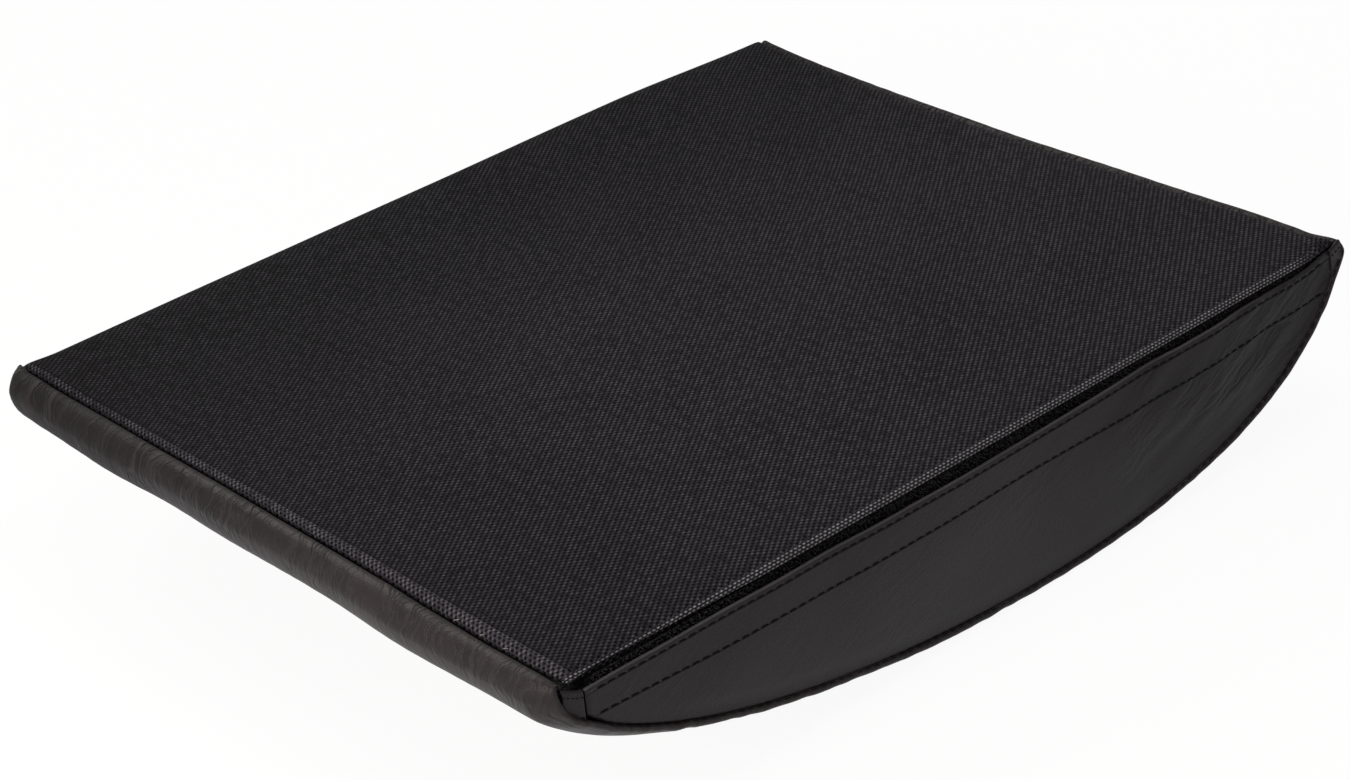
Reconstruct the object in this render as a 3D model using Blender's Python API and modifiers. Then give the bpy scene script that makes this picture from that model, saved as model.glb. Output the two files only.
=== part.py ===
"""Models an ab mat: a domed foam core in a sewn leatherette cover with a woven base.

The mat lies on its dome with the base upward. X runs across the mat, with the hook-and-loop
closure on +X. Y runs along it and Z is up. The origin is under the middle of the mat, at the
level where the dome rests. Depths are measured down from the face of the base, and distances
along the mat from the middle of the base.
"""

import math

import bmesh
import bpy
from mathutils import Vector
from mathutils.geometry import interpolate_bezier

# Woven base
BASE_LENGTH = 0.370
BASE_WIDTH = 0.305
WOVEN_THICKNESS = 0.0009
BASE_EDGE_RADIUS = 0.003
BASE_EDGE_DEPTH = 0.0034

# Leatherette cover
LEATHER_THICKNESS = 0.0011
GUSSET_STAND = 0.0009
SIDE_TOP_DEPTH = 0.0048
CREST_DEPTH = 0.0672
CREST_SHIFT = 0.025
CROWN = 0.0015
ROLL_CENTRE = 0.0011
ROLL_RISE = 0.0016
ROLL_INSET = 0.0016
ROLL_REACH = 0.0026
TUCK_LENGTH = 0.005
REST_CUT = 0.0005
NOSE_SWELL = 0.0044
NOSE_RAMP = 0.012
NOSE_LENGTH = 0.03
NOSE_FADE = 0.09

# Ends of the dome, seen from the side
END_OVERHANG = 0.003
NEAR_END_DEPTH = 0.005
FAR_END_DEPTH = 0.0065
NEAR_SHOULDER_INSET = 0.0027
NEAR_SHOULDER_DEPTH = 0.0116
NEAR_SLOPE = math.radians(42.5)
FAR_SHOULDER_INSET = 0.006
FAR_SHOULDER_DEPTH = 0.0135
FAR_SLOPE = math.radians(59)

# How far each curve of the side outline keeps its direction, as shares of its run
NEAR_LEAVE_SHARE = 0.30
CREST_ARRIVE_SHARE = 0.215
CREST_LEAVE_SHARE = 0.50
FAR_ARRIVE_SHARE = 0.25
CORNER_SHARE = 0.28
LIP_SHARE = 0.55

# How far the cover has rolled out of a base seam where the foam begins, as a share
FILL_SHARE = 0.7

# Hook-and-loop closure
TAPE_THICKNESS = 0.001
HEM_DEPTH = 0.0066
HEM_WIDTH = 0.0028
FOLD_DEPTH = 0.0192
NEAR_SLIT_INSET = 0.0064
FAR_SLIT_INSET = 0.004
SLIT_WIDTH = 0.0007
HOOK_INSET = 0.0024
HOOK_DROP = 0.0006
LOOP_TUCK = 0.001
LOOP_RISE = 0.0025

# Foam core
FOAM_EDGE_RADIUS = 0.003

# Sewing thread
THREAD_RADIUS = 0.0002
HEM_STITCH_INSET = 0.0024
FOLD_STITCH_INSET = 0.0009
LOOP_STITCH_INSET = 0.0006
TAB_STITCH_INSET = 0.0016
TAB_STITCH_MARGIN = 0.0012
ROW_MARGIN = 0.0065
LEFT_ROW_MARGIN = 0.003

# Clearance between pieces that touch, and the overrun of cutters
GAP = 0.0003
SEAM_GAP = 0.0003
OVERRUN = 0.02

# Counts
ROLL_STEPS = 4
RAMP_STEPS = 3
CROWN_STEPS = 2
FOAM_EDGE_STEPS = 3
HEM_STEPS = 6
SPAN_STEPS = (3, 4, 13, 11, 4, 3)

# Roll of the dome panel's edge: where it leaves the seam
ROLL_START = math.radians(-30)

# Derived sizes
HALF_LENGTH = BASE_LENGTH / 2
HALF_WIDTH = BASE_WIDTH / 2
FULL_OFFSET = ROLL_CENTRE + ROLL_RISE
REST_HEIGHT = CREST_DEPTH + FULL_OFFSET + CROWN - REST_CUT
THREAD_SLOT = 2 * (THREAD_RADIUS + SEAM_GAP)
NEAR_SLIT = HALF_LENGTH - NEAR_SLIT_INSET
FAR_SLIT = HALF_LENGTH - FAR_SLIT_INSET
GUSSET_FACE = HALF_WIDTH + GUSSET_STAND
GUSSET_BACK = GUSSET_FACE - LEATHER_THICKNESS
HOOK_FACE = GUSSET_BACK - GAP
HOOK_BACK = HOOK_FACE - TAPE_THICKNESS
LOOP_FACE = HOOK_BACK - GAP
LOOP_BACK = LOOP_FACE - TAPE_THICKNESS
FLAP_FACE = LOOP_BACK - GAP
FLAP_BACK = FLAP_FACE - WOVEN_THICKNESS
FLAP_TOP = WOVEN_THICKNESS + GAP
LOOP_TOP = BASE_EDGE_DEPTH + LOOP_TUCK
LOOP_BOTTOM = FOLD_DEPTH - LOOP_RISE
ROLL_MIDDLE = GUSSET_FACE - ROLL_INSET
RIM_INSET = THREAD_RADIUS + SEAM_GAP

# The near end swells past the far one, so the base lies this far from the middle of the mat
BASE_SHIFT = NOSE_SWELL / 2


def clear_scene():
    for item in list(bpy.data.objects):
        bpy.data.objects.remove(item)


def collection(name):
    group = bpy.data.collections.new(name)
    bpy.context.scene.collection.children.link(group)
    return group


def material(name, colour, roughness):
    made = bpy.data.materials.new(name)
    made.use_nodes = True
    shader = made.node_tree.nodes["Principled BSDF"]
    shader.inputs["Base Color"].default_value = (*colour, 1)
    shader.inputs["Roughness"].default_value = roughness
    shader.inputs["Metallic"].default_value = 0
    return made


def add_object(name, data, look, parent=None):
    """Puts an object in the part's collection, its origin on its parent's axis."""
    item = bpy.data.objects.new(name, data)
    data.materials.append(look)
    PART.objects.link(item)
    if parent:
        item.parent = parent
        item.matrix_parent_inverse = parent.matrix_basis.inverted()
    return item


def place(x, along, depth):
    """A point from its X, its distance along the mat and its depth."""
    return (x, along + BASE_SHIFT, REST_HEIGHT - depth)


# Side outline of the cover

def side_knots():
    """Knots of the arc seam from the near base seam to the far one.

    Each has its place along Y, its depth, and its heading, turned down from +Y.
    """
    top = HALF_LENGTH + THREAD_SLOT
    end = HALF_LENGTH + END_OVERHANG
    return (
        (-top, BASE_EDGE_DEPTH, math.pi),
        (-end, NEAR_END_DEPTH, math.pi / 2),
        (NEAR_SHOULDER_INSET - end, NEAR_SHOULDER_DEPTH, NEAR_SLOPE),
        (CREST_SHIFT, CREST_DEPTH, 0.0),
        (end - FAR_SHOULDER_INSET, FAR_SHOULDER_DEPTH, -FAR_SLOPE),
        (end, FAR_END_DEPTH, -math.pi / 2),
        (top, BASE_EDGE_DEPTH, -math.pi),
    )


SPAN_SHARES = (
    (LIP_SHARE, LIP_SHARE),
    (CORNER_SHARE, CORNER_SHARE),
    (NEAR_LEAVE_SHARE, CREST_ARRIVE_SHARE),
    (CREST_LEAVE_SHARE, FAR_ARRIVE_SHARE),
    (CORNER_SHARE, CORNER_SHARE),
    (LIP_SHARE, LIP_SHARE),
)


def heading(angle):
    return Vector((math.cos(angle), -math.sin(angle), 0))


def side_outline():
    """Points of the arc seam in the plane of Y and height, as drawn by its knots."""
    points = []
    knots = side_knots()
    for start, end, shares, steps in zip(knots, knots[1:], SPAN_SHARES, SPAN_STEPS):
        a = Vector((start[0], -start[1], 0))
        b = Vector((end[0], -end[1], 0))
        run = (b - a).length
        leave = a + heading(start[2]) * run * shares[0]
        arrive = b - heading(end[2]) * run * shares[1]
        points += interpolate_bezier(a, leave, arrive, b, steps + 1)[:-1]
    last = knots[-1]
    return points + [Vector((last[0], -last[1], 0))]


def outward(points, index):
    """The direction out of the cover at a point of its side outline."""
    before = points[max(index - 1, 0)]
    after = points[min(index + 1, len(points) - 1)]
    along = (after - before).normalized()
    return Vector((along.y, -along.x, 0))


def distances(points):
    """How far along the side outline each point is from its near end."""
    lengths = [0.0]
    for a, b in zip(points, points[1:]):
        lengths.append(lengths[-1] + (b - a).length)
    return lengths


def ease(share):
    """A rise from 0 to 1 that levels out, held at both ends."""
    return math.sin(max(0, min(1, share)) * math.pi / 2)


def fullness(points):
    """How far the cover has rolled out of its base seam at each point, from 0 to 1."""
    lengths = distances(points)
    return [ease(min(s, lengths[-1] - s) / TUCK_LENGTH) for s in lengths]


def nose_shares(points):
    """How much of the near end's swell each point has, from 1 at the end to 0."""
    return [1 - ease((s - NOSE_LENGTH) / NOSE_FADE) ** 2 for s in distances(points)]


def nose_swell(x):
    """The near end's extra swell at a place across the cover."""
    return NOSE_SWELL * ease((GUSSET_FACE - abs(x)) / NOSE_RAMP)


def offset_outline(offset, tucked=True, swell=0):
    """The side outline moved outward, and tucked back in at the base seams."""
    points = side_outline()
    full = fullness(points) if tucked else [1] * len(points)
    moves = [(offset + swell * nose) * w for nose, w in zip(nose_shares(points), full)]
    return [p + outward(points, i) * moves[i] for i, p in enumerate(points)]


def at_x(x, point):
    return place(x, point.x, -point.y)


# Mesh helpers

def skin(name, rows, look, closed=False):
    """A surface through rows of points. A closed one joins each row's ends and is capped.

    An open one faces outward where its rows run from -X to +X.
    """
    mesh = bpy.data.meshes.new(name)
    work = bmesh.new()
    rings = [[work.verts.new(p) for p in row] for row in rows]
    count = len(rings[0])
    for near, far in zip(rings, rings[1:]):
        for i in range(count if closed else count - 1):
            j = (i + 1) % count
            work.faces.new((near[i], near[j], far[j], far[i]))
    if closed:
        work.faces.new(rings[0][::-1])
        work.faces.new(rings[-1])
        bmesh.ops.recalc_face_normals(work, faces=work.faces)
    work.to_mesh(mesh)
    work.free()
    return add_object(name, mesh, look)


def box(name, low, high, look, parent=None):
    """A block between two corners, whose third value is a depth below the base."""
    mesh = bpy.data.meshes.new(name)
    work = bmesh.new()
    bmesh.ops.create_cube(work, size=1)
    size = [b - a for a, b in zip(low, high)]
    middle = [(a + b) / 2 for a, b in zip(low, high)]
    bmesh.ops.scale(work, vec=size, verts=work.verts)
    bmesh.ops.translate(work, vec=place(*middle), verts=work.verts)
    work.to_mesh(mesh)
    work.free()
    return add_object(name, mesh, look, parent)


def thread(name, points, parent=None):
    """A sewing thread along a row of points, as a thin tube with closed ends."""
    curve = bpy.data.curves.new(name, "CURVE")
    curve.dimensions = "3D"
    curve.bevel_depth = THREAD_RADIUS
    curve.bevel_resolution = 1
    curve.use_fill_caps = True
    line = curve.splines.new("POLY")
    line.points.add(len(points) - 1)
    for item, point in zip(line.points, points):
        item.co = (*point, 1)
    return add_object(name, curve, THREAD, parent)


def straight_row(name, x, depth, start, end, parent=None):
    """A thread that runs straight along the mat."""
    return thread(name, [place(x, start, depth), place(x, end, depth)], parent)


def boolean(item, operation, cutter):
    step = item.modifiers.new(operation.title(), "BOOLEAN")
    step.operation = operation
    step.object = cutter
    step.solver = "EXACT"


def as_cutter(item):
    """Takes a solid out of the part and keeps it as a cutter."""
    PART.objects.unlink(item)
    CUTTERS.objects.link(item)
    item.hide_render = True
    item.display_type = "WIRE"
    return item


# Sub-parts

def make_seam_trim():
    """The space inside the arc seams, which trims the side pieces to their outline."""
    edge = offset_outline(-RIM_INSET - GAP, tucked=False)
    reach = GUSSET_FACE + OVERRUN
    rows = [[at_x(x, p) for p in edge] for x in (-reach, reach)]
    return as_cutter(skin("seam_trim", rows, LEATHER, closed=True))


def roll_stations():
    """Places across the dome panel from its +X seam to its middle.

    Each has its X where the panel is tucked flat, its X where it is rolled, and its offset.
    """
    stations = []
    for step in range(ROLL_STEPS + 1):
        angle = ROLL_START + (math.pi / 2 - ROLL_START) * step / ROLL_STEPS
        flat = GUSSET_FACE - ROLL_INSET * step / ROLL_STEPS
        rolled = ROLL_MIDDLE + ROLL_REACH * math.cos(angle)
        stations.append((flat, rolled, ROLL_CENTRE + ROLL_RISE * math.sin(angle)))
    for x, swell in crown_stations():
        stations.append((x, x, FULL_OFFSET + swell))
    return stations


def crown_stations():
    """Places from inside the roll to the middle, and how far the dome swells at each."""
    places = [ROLL_MIDDLE - NOSE_RAMP * step / RAMP_STEPS for step in range(1, RAMP_STEPS + 1)]
    places += [places[-1] * (1 - step / CROWN_STEPS) for step in range(1, CROWN_STEPS + 1)]
    return [(x, CROWN * (1 - (x / ROLL_MIDDLE) ** 2)) for x in places]


def make_dome_panel():
    """One leatherette panel wraps the dome and both rounded ends."""
    mirrored = [(-flat, -rolled, offset) for flat, rolled, offset in roll_stations()[:-1]]
    stations = mirrored + roll_stations()[::-1]
    shares = fullness(side_outline())
    rows = []
    for flat, rolled, offset in stations:
        outline = offset_outline(offset, swell=nose_swell(rolled))
        rows.append([at_x(flat + (rolled - flat) * w, p) for p, w in zip(outline, shares)])
    panel = skin("dome_panel", rows, LEATHER)
    shell = panel.modifiers.new("Thickness", "SOLIDIFY")
    shell.thickness = LEATHER_THICKNESS
    shell.offset = -1
    shell.use_even_offset = True
    reach = HALF_WIDTH + OVERRUN
    span = HALF_LENGTH + OVERRUN
    floor = box("floor_cutter", (-reach, -span, REST_HEIGHT), (reach, span, REST_HEIGHT + OVERRUN), LEATHER)
    boolean(panel, "DIFFERENCE", as_cutter(floor))
    panel.data.shade_smooth()
    return panel


def foam_section(x, inset, crown):
    """The foam's outline seen from the side, drawn in by an inset and swollen by a crown."""
    lining = LEATHER_THICKNESS + GAP + inset
    cover = offset_outline(FULL_OFFSET + crown, swell=nose_swell(x))
    inner = [p - outward(cover, i) * lining for i, p in enumerate(cover)]
    below = [p for p, full in zip(inner, fullness(side_outline())) if full > FILL_SHARE]
    side = HALF_LENGTH - WOVEN_THICKNESS - GAP - inset
    corner = HALF_LENGTH - BASE_EDGE_RADIUS - inset
    lip = below[0].y
    shoulder = -BASE_EDGE_RADIUS - inset
    top = -WOVEN_THICKNESS - GAP - inset
    above = ((side, lip), (side, shoulder), (corner, top), (-corner, top), (-side, shoulder), (-side, lip))
    return below + [Vector((y, z, 0)) for y, z in above]


def make_foam_core():
    """The foam fills the cover, with rounded sides and a step where the tapes press in."""
    half = HALF_WIDTH - WOVEN_THICKNESS - GAP
    stations = []
    for step in range(FOAM_EDGE_STEPS):
        angle = math.pi / 2 * step / (FOAM_EDGE_STEPS - 1)
        across = half - FOAM_EDGE_RADIUS * (1 - math.cos(angle))
        stations.append((across, FOAM_EDGE_RADIUS * (1 - math.sin(angle)), 0.0))
    for x, swell in crown_stations():
        stations.append((x, 0.0, swell))
    mirrored = [(-x, inset, crown) for x, inset, crown in stations[:-1]]
    rows = []
    for x, inset, crown in mirrored + stations[::-1]:
        rows.append([at_x(x, p) for p in foam_section(x, inset, crown)])
    foam = skin("foam_core", rows, FOAM, closed=True)
    low = (FLAP_BACK - GAP, -NEAR_SLIT - SLIT_WIDTH, -OVERRUN)
    high = (HALF_WIDTH + OVERRUN, FAR_SLIT + SLIT_WIDTH, FOLD_DEPTH)
    boolean(foam, "DIFFERENCE", as_cutter(box("tape_recess", low, high, FOAM)))
    return foam


def make_base_panel():
    """Woven base: a flat sheet whose edge rolls down into the seams all round."""
    mesh = bpy.data.meshes.new("base_panel")
    work = bmesh.new()
    bmesh.ops.create_cube(work, size=1)
    bmesh.ops.scale(work, vec=(BASE_WIDTH, BASE_LENGTH, BASE_EDGE_DEPTH), verts=work.verts)
    bmesh.ops.translate(work, vec=place(0, 0, BASE_EDGE_DEPTH / 2), verts=work.verts)
    bottom = [f for f in work.faces if f.normal.z < 0 and abs(f.normal.z) > abs(f.normal.x) + abs(f.normal.y)]
    bmesh.ops.delete(work, geom=bottom, context="FACES_ONLY")
    work.to_mesh(mesh)
    work.free()
    panel = add_object("base_panel", mesh, WOVEN)
    edge = panel.modifiers.new("Rolled edge", "BEVEL")
    edge.width = BASE_EDGE_RADIUS
    edge.segments = 4
    edge.limit_method = "ANGLE"
    shell = panel.modifiers.new("Thickness", "SOLIDIFY")
    shell.thickness = WOVEN_THICKNESS
    shell.offset = -1
    panel.data.shade_smooth()
    return panel


def make_gussets(trim):
    """The flat leatherette sides below the base's left edge and below the fold."""
    reach = HALF_LENGTH + OVERRUN
    bottom = CREST_DEPTH + OVERRUN
    fold = FOLD_DEPTH + GAP
    left = box("left_gusset", (-GUSSET_FACE, -reach, SIDE_TOP_DEPTH), (-GUSSET_BACK, reach, bottom), LEATHER)
    right = box("right_gusset", (GUSSET_BACK, -reach, fold), (GUSSET_FACE, reach, bottom), LEATHER)
    boolean(left, "INTERSECT", trim)
    boolean(right, "INTERSECT", trim)


def make_corner_tabs(trim):
    """The ends of the side above the fold, which stay sewn down beyond the slits."""
    reach = HALF_LENGTH + OVERRUN
    near_low = (GUSSET_BACK, -reach, SIDE_TOP_DEPTH)
    near_high = (GUSSET_FACE, -NEAR_SLIT - SLIT_WIDTH, FOLD_DEPTH - GAP)
    far_low = (GUSSET_BACK, FAR_SLIT + SLIT_WIDTH, SIDE_TOP_DEPTH)
    far_high = (GUSSET_FACE, reach, FOLD_DEPTH - GAP)
    for name, low, high in (("near_corner_tab", near_low, near_high), ("far_corner_tab", far_low, far_high)):
        boolean(box(name, low, high, LEATHER), "INTERSECT", trim)


def make_closure_band(trim, hinge):
    """The strip above the fold, whose top edge is hemmed inward and rounded."""
    radius = (GUSSET_FACE - HOOK_FACE + LEATHER_THICKNESS) / 2
    centre = GUSSET_FACE - radius
    fold = [(centre + radius * math.cos(math.pi * i / HEM_STEPS),
             HEM_DEPTH + radius - radius * math.sin(math.pi * i / HEM_STEPS)) for i in range(HEM_STEPS + 1)]
    section = [(GUSSET_BACK, FOLD_DEPTH - GAP), (GUSSET_FACE, FOLD_DEPTH - GAP)] + fold
    section += [(centre - radius, HEM_DEPTH + HEM_WIDTH), (GUSSET_BACK, HEM_DEPTH + HEM_WIDTH)]
    rows = [[place(x, along, depth) for x, depth in section] for along in (-NEAR_SLIT, FAR_SLIT)]
    band = skin("closure_band", rows, LEATHER, closed=True)
    boolean(band, "INTERSECT", trim)
    band.parent = hinge
    band.matrix_parent_inverse = hinge.matrix_basis.inverted()


def make_tapes(closure_hinge, flap_hinge):
    """Hook tape inside the band, and loop tape on the flap of the base behind it."""
    near = -NEAR_SLIT + HOOK_INSET
    far = FAR_SLIT - HOOK_INSET
    hook_top = HEM_DEPTH + HEM_WIDTH + GAP
    hook_bottom = FOLD_DEPTH - GAP - HOOK_DROP
    box("hook_tape", (HOOK_BACK, near, hook_top), (HOOK_FACE, far, hook_bottom), HOOK, closure_hinge)
    box("loop_tape", (LOOP_BACK, near, LOOP_TOP), (LOOP_FACE, far, LOOP_BOTTOM), LOOP, flap_hinge)
    box("base_flap", (FLAP_BACK, near, FLAP_TOP), (FLAP_FACE, far, LOOP_BOTTOM), WOVEN, flap_hinge)


def make_seam_threads():
    """Threads in the seams round the base and along both arcs."""
    x = GUSSET_FACE
    outline = side_outline()
    arc = [p for p, share in zip(outline, fullness(outline)) if share == 1]
    thread("right_arc_thread", [at_x(x, p) for p in arc])
    thread("left_arc_thread", [at_x(-x, p) for p in arc])
    across = HALF_WIDTH - BASE_EDGE_RADIUS
    seam = HALF_LENGTH + RIM_INSET
    for name, along in (("near_base_thread", -seam), ("far_base_thread", seam)):
        thread(name, [place(-across, along, BASE_EDGE_DEPTH), place(across, along, BASE_EDGE_DEPTH)])
    along = HALF_LENGTH - LEFT_ROW_MARGIN
    straight_row("left_base_thread", -HALF_WIDTH - RIM_INSET, BASE_EDGE_DEPTH - THREAD_RADIUS, -along, along)


def make_closure_threads(closure_hinge, flap_hinge):
    """Topstitching on the band, the tape and the corner tabs."""
    x = GUSSET_FACE + RIM_INSET
    near = -NEAR_SLIT + ROW_MARGIN
    far = FAR_SLIT - ROW_MARGIN
    straight_row("band_hem_thread", x, HEM_DEPTH + HEM_STITCH_INSET, near, far, closure_hinge)
    straight_row("hook_tape_thread", x, FOLD_DEPTH - FOLD_STITCH_INSET, near, far, closure_hinge)
    x_loop = LOOP_FACE + RIM_INSET
    straight_row("loop_tape_thread", x_loop, LOOP_TOP + LOOP_STITCH_INSET, near, far, flap_hinge)
    depth = SIDE_TOP_DEPTH + TAB_STITCH_INSET
    end = HALF_LENGTH + END_OVERHANG - RIM_INSET - TAB_STITCH_MARGIN
    margin = SLIT_WIDTH + TAB_STITCH_MARGIN
    straight_row("near_tab_thread", x, depth, -end, -NEAR_SLIT - margin)
    straight_row("far_tab_thread", x, depth, FAR_SLIT + margin, end)


def hinge_at(name, x, depth):
    """An empty on a hinge's axis, which runs along the mat."""
    empty = bpy.data.objects.new(name, None)
    empty.location = place(x, 0, depth)
    PART.objects.link(empty)
    return empty


clear_scene()
PART = collection("ab_mat")
CUTTERS = collection("cutters")
LEATHER = material("black_leatherette", (0.021, 0.020, 0.021), 0.48)
WOVEN = material("black_woven_nylon", (0.018, 0.018, 0.021), 0.72)
FOAM = material("grey_foam", (0.25, 0.25, 0.26), 0.95)
HOOK = material("black_hook_tape", (0.010, 0.010, 0.010), 0.6)
LOOP = material("black_loop_tape", (0.006, 0.006, 0.006), 0.95)
THREAD = material("black_thread", (0.008, 0.008, 0.009), 0.5)

closure_axis = hinge_at("closure_hinge", GUSSET_FACE, FOLD_DEPTH)
flap_axis = hinge_at("flap_hinge", (FLAP_FACE + FLAP_BACK) / 2, FLAP_TOP)
seam_trim = make_seam_trim()
make_foam_core()
make_dome_panel()
make_base_panel()
make_gussets(seam_trim)
make_corner_tabs(seam_trim)
make_closure_band(seam_trim, closure_axis)
make_tapes(closure_axis, flap_axis)
make_seam_threads()
make_closure_threads(closure_axis, flap_axis)
bpy.context.view_layer.update()
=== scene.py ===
"""Looks of an ab mat: its leatherette cover, woven base, closure, stitches, foam, floor and light.

The mat lies on its dome. X runs across it, with the closure on +X, Y along it and Z up.
Depths are measured down from the face of the base, and distances along the mat from the
middle of the base, as in the part's source. Lengths are in metres.
"""

import math

import bmesh
import bpy
from mathutils import Matrix, Vector
from mathutils.geometry import interpolate_bezier
from mathutils.noise import noise


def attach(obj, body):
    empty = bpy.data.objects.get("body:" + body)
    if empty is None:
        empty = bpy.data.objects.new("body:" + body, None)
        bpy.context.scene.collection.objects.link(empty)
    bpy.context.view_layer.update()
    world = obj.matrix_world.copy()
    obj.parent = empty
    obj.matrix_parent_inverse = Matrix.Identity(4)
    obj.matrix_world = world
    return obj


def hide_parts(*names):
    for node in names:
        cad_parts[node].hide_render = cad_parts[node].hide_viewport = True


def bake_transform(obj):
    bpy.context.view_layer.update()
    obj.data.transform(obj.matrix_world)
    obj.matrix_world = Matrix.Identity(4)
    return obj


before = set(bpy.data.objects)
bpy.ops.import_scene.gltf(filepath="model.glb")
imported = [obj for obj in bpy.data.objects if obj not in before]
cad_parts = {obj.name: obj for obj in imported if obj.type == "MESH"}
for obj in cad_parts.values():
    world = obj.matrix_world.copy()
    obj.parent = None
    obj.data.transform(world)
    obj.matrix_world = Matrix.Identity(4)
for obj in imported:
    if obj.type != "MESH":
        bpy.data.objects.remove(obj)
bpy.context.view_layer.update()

# Sizes taken over from the part's source
HALF_LENGTH = 0.185
HALF_WIDTH = 0.1525
BASE_SHIFT = 0.0022
REST_HEIGHT = 0.0709
WOVEN_THICKNESS = 0.0009
LEATHER_THICKNESS = 0.0011
BASE_EDGE_DEPTH = 0.0034
GUSSET_FACE = 0.1534
SIDE_TOP_DEPTH = 0.0048
CREST_DEPTH = 0.0672
CREST_SHIFT = 0.025
CROWN = 0.0015
ROLL_CENTRE = 0.0011
ROLL_RISE = 0.0016
ROLL_INSET = 0.0016
ROLL_REACH = 0.0026
ROLL_START = math.radians(-80)
TUCK_LENGTH = 0.005
NOSE_SWELL = 0.0044
NOSE_RAMP = 0.012
NOSE_LENGTH = 0.03
NOSE_FADE = 0.09
END_OVERHANG = 0.003
NEAR_END_DEPTH = 0.005
FAR_END_DEPTH = 0.0065
NEAR_SHOULDER_INSET = 0.0027
NEAR_SHOULDER_DEPTH = 0.0116
NEAR_SLOPE = math.radians(42.5)
FAR_SHOULDER_INSET = 0.006
FAR_SHOULDER_DEPTH = 0.0135
FAR_SLOPE = math.radians(59)
SEAM_OFFSET = 0.001
HEM_DEPTH = 0.0066
FOLD_DEPTH = 0.0192
NEAR_SLIT = 0.1786
FAR_SLIT = 0.181
TAPE_NEAR = 0.1762
TAPE_FAR = 0.1786
HOOK_FACE = 0.152
HOOK_TOP = 0.0097
HOOK_BOTTOM = 0.0183
LOOP_FACE = 0.1507
LOOP_TOP = 0.0044
LOOP_BOTTOM = 0.016
TAPE_THICKNESS = 0.001
FLAP_FACE = 0.1494
FLAP_TOP = 0.0012
SPAN_SHARES = (
    (0.55, 0.55),
    (0.28, 0.28),
    (0.30, 0.215),
    (0.50, 0.25),
    (0.28, 0.28),
    (0.55, 0.55),
)
SPAN_STEPS = (24, 30, 240, 200, 30, 24)

# How the cloth has pulled away from its pattern; a fade is where it starts and how long it takes
FAR_PULL_START = 0.11
FAR_PULL_SPAN = 0.265
FAR_PULL_IN = 0.0032
FAR_PULL_DOWN = 0.0019
LEFT_PULL_START = 0.1
LEFT_PULL_OUT = 0.0015
LEFT_PULL_UP = 0.0015
LEFT_PULL_END = 0.1
PULL_DEPTH = 0.04
EAR_SIZE = 0.016
FAR_EAR_RISE = 0.002
LIP_REACH = 0.012
LIP_SINK = 0.0006
LIP_TUCK = 0.0006
LIP_TUCK_REACH = 0.0015
FAR_FULL_START = 0.05
FAR_FULL_SPAN = 0.1
FAR_FULL_DEPTH = 0.015
FAR_FULL_OUT = 0.0016
FAR_FULL_DOWN = 0.0009
FAR_ROUND = 0.0012
FAR_ROUND_AT = 0.085
FAR_ROUND_SPREAD = 0.05
FAR_ROUND_DEPTH = 0.012
FAR_ROUND_RAMP = 0.02
NOSE_HOLLOW = 0.0012
NOSE_HOLLOW_LEFT = -0.1
NOSE_HOLLOW_RIGHT = 0.085
NOSE_HOLLOW_RAMP = 0.05
LEFT_NOSE_RAMP = 0.007
CORNER_START = 0.138
CORNER_RAMP = 0.016
NEAR_CORNER_TURN = 0.002
NEAR_CORNER_FADE = (0.004, 0.014)
FAR_CORNER_TURN = 0.0012
FAR_CORNER_FADE = (0.002, 0.012)
LEFT_CORNER_TURN = 0.0018
LEFT_CORNER_FADE = (0.002, 0.006)
LEFT_CORNER_DRAW = 0.002
LEFT_DRAW_START = 0.143
LEFT_DRAW_REACH = 0.008
TAB_TURN = 0.0016

# How deep the near base seam lies, at places across the mat
SEAM_DEPTHS = (
    (-0.03, 0.0001),
    (0.035, 0.0004),
    (0.063, 0.0008),
    (0.09, 0.0014),
    (0.117, 0.0015),
    (0.134, 0.0009),
    (0.1525, 0.0003),
)

# How far the near base seam is drawn in from its straight line, at places across the mat
SEAM_PULLS = (
    (-0.1525, 0.0),
    (-0.13, 0.0002),
    (-0.1, 0.0008),
    (-0.03, 0.001),
    (0.035, 0.0009),
    (0.063, 0.0008),
    (0.09, 0.0005),
    (0.117, 0.0002),
    (0.134, 0.0),
)

# How far the closure has slipped down at its hem and at its lower stitches, at places along the mat
HEM_SLIPS = (
    (-0.178, -0.0008),
    (-0.155, -0.001),
    (-0.09, -0.0008),
    (-0.04, 0.0002),
    (0.006, 0.0009),
    (0.055, -0.0002),
    (0.106, -0.0009),
    (0.155, -0.0013),
    (0.181, -0.0028),
)
FOLD_SLIPS = (
    (-0.178, -0.0015),
    (-0.11, 0.0004),
    (-0.02, 0.0016),
    (0.05, 0.0015),
    (0.12, 0.0008),
    (0.181, -0.0004),
)

# Woven base
CORE_INSET = 0.016
CORNER_RADIUS = 0.0014
BASE_CELL = 0.0035
BASE_WAVE = 0.00025
SEAM_EDGE_DEPTH = 0.0004
SLACK_START = -0.18
SLACK_SPAN = 0.08
WEAVE_ROW = 0.00143
WEAVE_YARN = 0.00217
WEAVE_SKEW = 0.04
BEAD_ROW = 0.001085
BEAD_PITCH = 0.0019
EDGE_STEPS = 16
EDGE_CROWDING = 1.6
CURVE_STEPS = 8

# Dome cover
COVER_CELL = 0.00165
LIP_ROWS = 0.0004
NOSE_ROWS = 0.0012
DOME_ROWS = 0.0021
NOSE_ZONE = 0.045
FAR_ZONE = 0.02
ROLL_STEPS = 9
ROLL_TUCK = 0.0006
GATHER_DEPTH = 0.00016
GATHER_PITCH = 0.0055
GATHER_REACH = 0.008
GATHER_LEFT = 1.5
GATHER_RIGHT = 0.8
SCALLOP_DEPTH = 0.00022
SCALLOP_PITCH = 0.005
SCALLOP_REACH = 0.006
COVER_WAVE = 0.0003

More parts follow.
